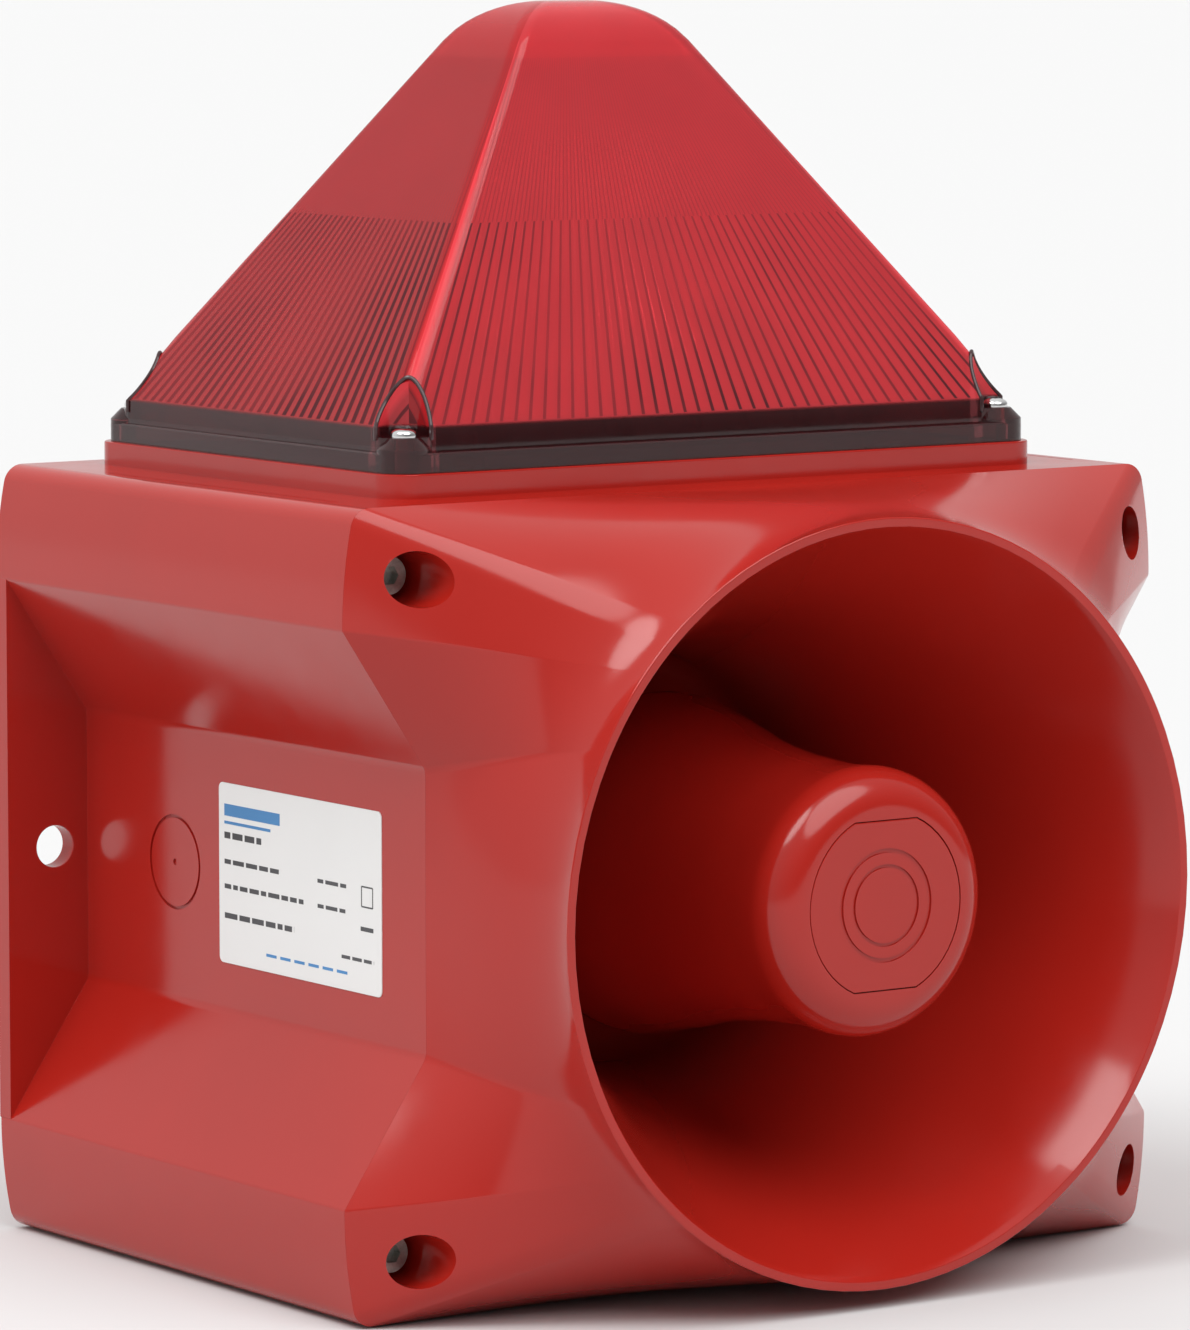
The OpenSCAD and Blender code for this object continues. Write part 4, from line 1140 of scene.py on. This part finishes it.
def make_lens():
    body = lens_solid("lens_shell", 0.0, BASE_TOP + 1.0, False)
    foot = rounded_rect(LENS_W, LENS_L, NICHE_R, BEACON_D, 12)
    small = rounded_rect(LENS_W - 0.8, LENS_L - 0.8, NICHE_R - 0.4, BEACON_D, 12)
    add(body, loft("foot", [at_height(foot, BASE_TOP), at_height(foot, FLANGE_TOP - 0.4),
                            at_height(small, FLANGE_TOP)]))
    for x, d in lens_corners():
        add(body, stack("boss", [(NICHE_R - 0.02, BASE_TOP + 0.2), (NICHE_R - 0.02, LEDGE - 2.5),
                                 (NICHE_R - 2.5, LEDGE), (NICHE_R - 2.8, LEDGE + 0.3)], x, d))
        levels = [LEDGE] + [NICHE_DOME + NICHE_RISE * math.sin(math.pi / 2 * i / 10)
                            for i in range(10)]
        carve(body, stack("niche", [(niche_radius(z), z) for z in levels], x, d))
    hollow = lens_solid("hollow", LENS_T, BASE_TOP - 3.0, True)
    for x, d in lens_corners():
        carve(hollow, upright("wall", circle(NICHE_R + 1.9, 48, x, d), BASE_TOP - 5, LEDGE + 30))
    carve(body, hollow)
    for x, d in lens_corners():
        carve(body, upright("screw_hole", circle(LENS_HOLE_R, 24, x, d), BASE_TOP - 1, LEDGE + 1))
    settle(body, "lens", "lens", "red_lens_plastic", ["lens"], sharp=40.0, weighted=False)
    # Dark bars round each arch, painted shade along the niche edges
    for k, (sx, sy) in enumerate(((-1, -1), (-1, 1), (1, -1), (1, 1))):
        edge_shade_bar = sweep("lens_niche_edge_shade_%d" % (k + 1), niche_edge_shade_path(sx, sy), EDGE_SHADE_BAR_R)
        settle(edge_shade_bar, "lens", "niche_shade", "red_lens_plastic")


def make_lens_screws():
    head = LEDGE + 0.7
    profile = [(0.01, BASE_TOP - 7), (1.5, BASE_TOP - 7), (1.5, LEDGE), (3.0, LEDGE), (3.05, head)]
    profile += [(3.05 * math.cos(a), head + 1.5 * math.sin(a))
                for a in [math.radians(b) for b in (15, 30, 45, 60, 75)]]
    profile.append((0.01, head + 1.5))
    for k, (x, d) in enumerate(lens_corners()):
        screw = lathe_upright("lens_screw_%d" % (k + 1), profile, x, d)
        carve(screw, upright("socket", circle(1.25, 6, x, d), LEDGE + 1.2, LEDGE + 4))
        settle(screw, "lens", "bright_steel", "stainless_steel", ["lens_screws"])


# ---------- label ----------

LABEL_DEPTH = 99.5
LABEL_L = 69.0
LABEL_H = 42.4
LABEL_LIFT = 0.28
# Height of a line of print, where it starts and stops, and how tall it is
LABEL_LINES = ((8.2, -32, -16, 1.5), (2.2, -32, -8, 1.1), (-3.6, -32, 2, 1.1),
               (-10.6, -32, -2, 1.3), (2.2, 8, 20, 0.9), (-3.6, 8, 20, 0.9),
               (-6.8, 26, 31.5, 1.0), (-14.0, 18, 31.5, 0.8))
WORD_LENGTH = (2.0, 5.5)
WORD_GAP = 0.9
BLUE_BLOCKS = [(-32, 13.5, -8, 16.3), (-32, 11.6, -12, 12.3)]
BLUE_BLOCKS += [(6 * k - 14, -17.6, 6 * k - 9.6, -16.9) for k in range(6)]
SQUARE = (26.4, 31.0, -1.2, 3.4)
SQUARE_HALF_LINE = 0.175


def make_label():
    """Film with plain print; u runs forward along the label from its middle and v runs up."""
    plate = rounded_rect(LABEL_L, LABEL_H, 1.5)
    rings = []
    for w, lift in ((0.0, -0.2), (0.0, 0.2), (0.15, LABEL_LIFT)):
        scale_u, scale_v = 1 - 2 * w / LABEL_L, 1 - 2 * w / LABEL_H
        rings.append([(-FLOOR_X - lift, -LABEL_DEPTH - u * scale_u, v * scale_v) for u, v in plate])
    settle(loft("rating_label_film", rings), "housing", "label", "label_film", ["rating_label"])
    words = random.Random(21)
    dark = []
    for v, start, stop, tall in LABEL_LINES:
        u = start
        while u < stop:
            long = min(words.uniform(*WORD_LENGTH), stop - u)
            dark.append((u, v, u + long, v + tall))
            u += long + WORD_GAP
    left, right, low, high = SQUARE
    dark += [(left, v - SQUARE_HALF_LINE, right, v + SQUARE_HALF_LINE) for v in (low, high)]
    dark += [(u - SQUARE_HALF_LINE, low, u + SQUARE_HALF_LINE, high) for u in (left, right)]
    face = -FLOOR_X - LABEL_LIFT
    for name, blocks, material in (("label_print", dark, "ink"),
                                   ("label_print_blue", BLUE_BLOCKS, "ink_blue")):
        placed = [((face - 0.03, -LABEL_DEPTH - u0, v0), (face + 0.1, -LABEL_DEPTH - u1, v1))
                  for u0, v0, u1, v1 in blocks]
        settle(block_set(name, placed), "housing", material, "label_film")


# ---------- small parts on both boards ----------

BOARD_FRONT = 10.6
FLASH_FOOT = 100.6
GRID = 1.27
PART_GAP = 0.8
PART_SIZES = ((12.0, 10.0), (10.0, 6.0), (5.0, 4.0), (3.2, 1.6), (3.2, 1.6), (2.0, 1.25))
# Footprint in square millimetres above which a part has rows of legs and not two end caps
LEGGED = 15
TALL = 50


def round_posts(post, half):
    """Fields (left, low, right, high) kept free round the four posts under a board."""
    return [(u - half, v - half, u + half, v + half) for u, v in corners(*post)]


# Fields kept free on each board, round the parts and screws that stand there
MAIN_TAKEN = [(-33, -68, 33, -48), (41, -65, 75, -31), (-74, 43, -26, 69), (8, 50, 64, 71),
              (-72, -54, -48, -38), (-67, -31, -53, -17)] + round_posts(BOARD_POST, 6)
FLASH_TAKEN = [(-51, -22, -25, 22), (25, -22, 51, 22), (-24, -19, 24, 19),
               (-8, 22, 8, 38)] + round_posts(FLASH_POST, 5)


def scatter(seed, half_u, half_v, taken, tries):
    """Seeded places (u, v, width, length) that touch neither each other nor the taken fields."""
    pick = random.Random(seed)
    taken = list(taken)
    places = []
    for k in range(tries):
        w, l = PART_SIZES[k * len(PART_SIZES) // tries]
        if pick.random() < 0.5:
            w, l = l, w
        u = round(pick.uniform(w - half_u, half_u - w) / GRID) * GRID
        v = round(pick.uniform(l - half_v, half_v - l) / GRID) * GRID
        field = (u - w / 2 - PART_GAP, v - l / 2 - PART_GAP,
                 u + w / 2 + PART_GAP, v + l / 2 + PART_GAP)
        if all(field[2] < t[0] or field[0] > t[2] or field[3] < t[1] or field[1] > t[3]
               for t in taken):
            taken.append(field)
            places.append((u, v, w, l))
    return places


def board_part(u, v, w, l):
    """Body and metal ends of a part, each block as two corners (u, v, height)."""
    area = w * l
    along = w > l
    tall = 2.2 if area > TALL else 1.5 if area > LEGGED else 0.7
    if area > LEGGED:
        spots = [(-1 + 2 * i / 5, side) for i in range(6) for side in (-1, 1)]
        spots = [(leg * w * 0.4, side * (l / 2 + 0.35)) if along else
                 (side * (w / 2 + 0.35), leg * l * 0.4) for leg, side in spots]
        half_u, half_v = (0.25, 0.5) if along else (0.5, 0.25)
        top = 0.5
    else:
        spots = [(end * w / 2, 0) if along else (0, end * l / 2) for end in (-1, 1)]
        half_u, half_v = (0.35, l / 2 + 0.05) if along else (w / 2 + 0.05, 0.35)
        top = tall + 0.04
    ends = [((u + du - half_u, v + dv - half_v, 0.02), (u + du + half_u, v + dv + half_v, top))
            for du, dv in spots]
    return ((u - w / 2, v - l / 2, 0.08), (u + w / 2, v + l / 2, tall)), ends


def on_main_board(u, v, height):
    return (u, -BOARD_FRONT - height, v)


def on_flash_board(u, v, height):
    return (u, v - BEACON_D, FLASH_FOOT + height)


def make_board_parts():
    for name, seed, half_u, half_v, taken, tries, place in (
            ("main_board_part", 5, 76, 71, MAIN_TAKEN, 150, on_main_board),
            ("flash_board_part", 8, 57, 40, FLASH_TAKEN, 110, on_flash_board)):
        bodies, ends = [], []
        for spot in scatter(seed, half_u, half_v, taken, tries):
            body, metal_ends = board_part(*spot)
            bodies.append(body)
            ends += metal_ends
        for kind, blocks, material, slot in (("bodies", bodies, "black", "black_plastic"),
                                             ("ends", ends, "bright_steel", "stainless_steel")):
            placed = [(place(*a), place(*b)) for a, b in blocks]
            settle(block_set("%s_%s" % (name, kind), placed), "housing", material, slot)


# ---------- CAD nodes that stay ----------

# Material, then the nodes that have it and the rounding of their edges in millimetres
KEPT = {
    "brass": {"cover_inserts": 0.2, "lens_inserts": 0.1},
    "rubber": {"cover_gasket": 0.15, "beacon_gasket": 0.1, "lens_gasket": 0.1,
               "driver_gasket": 0.1, "screw_seals": 0.1},
    "board": {"main_board": 0.15, "flash_board": 0.15},
    "steel": {"board_screws": 0.2, "terminal_screws": 0.1, "beacon_screws": 0.2,
              "flash_board_screws": 0.2, "bullet_screw": 0.2, "driver_screws": 0.2},
    "dull_steel": {"cover_screws": 0.25},
    "zinc": {"driver_plate": 0.3, "driver_yoke": 0.5},
    "ferrite": {"driver_magnet": 0.8},
    "alu": {"heat_sink": 0.2, "driver_front": 0.5},
    "copper": {"choke": 1.2, "trigger_coil": 0.4, "voice_coil": 0.0},
    "sleeve": {"reservoir_capacitors": 0.6, "flash_capacitors": 0.8},
    "black": {"power_transistors": 0.2, "tube_holder": 0.6, "phase_plug": 0.1, "driver_cap": 0.8},
    "green": {"terminal_block": 0.3},
    "switch_red": {"tone_switch": 0.15},
    "blue": {"volume_control": 0.3},
    "white": {"volume_knob": 0.2, **{"slider_%d" % i: 0.12 for i in range(1, 7)}},
    "glass": {"flash_tube": 0.0},
    "phenolic": {"diaphragm": 0.0},
    "dark_red": {"bullet_spider": 0.3},
}


def dress_node(obj, material, width):
    obj.data.materials.clear()
    obj.data.materials.append(mats[material])
    for face in obj.data.polygons:
        face.material_index = 0
    if width:
        bevel = obj.modifiers.new("soften", "BEVEL")
        bevel.width = width * MM
        bevel.segments = 2
        bevel.limit_method = "ANGLE"
        bevel.angle_limit = math.radians(35)
        bevel.use_clamp_overlap = True


make_camera()
make_stage()
make_housing()
make_cover()
make_flare()
make_bullet()
make_cap()
make_throat()
make_base()
make_lens()
make_lens_screws()
make_label()
make_board_parts()
for material, widths in KEPT.items():
    for node, width in widths.items():
        dress_node(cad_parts[node], material, width)
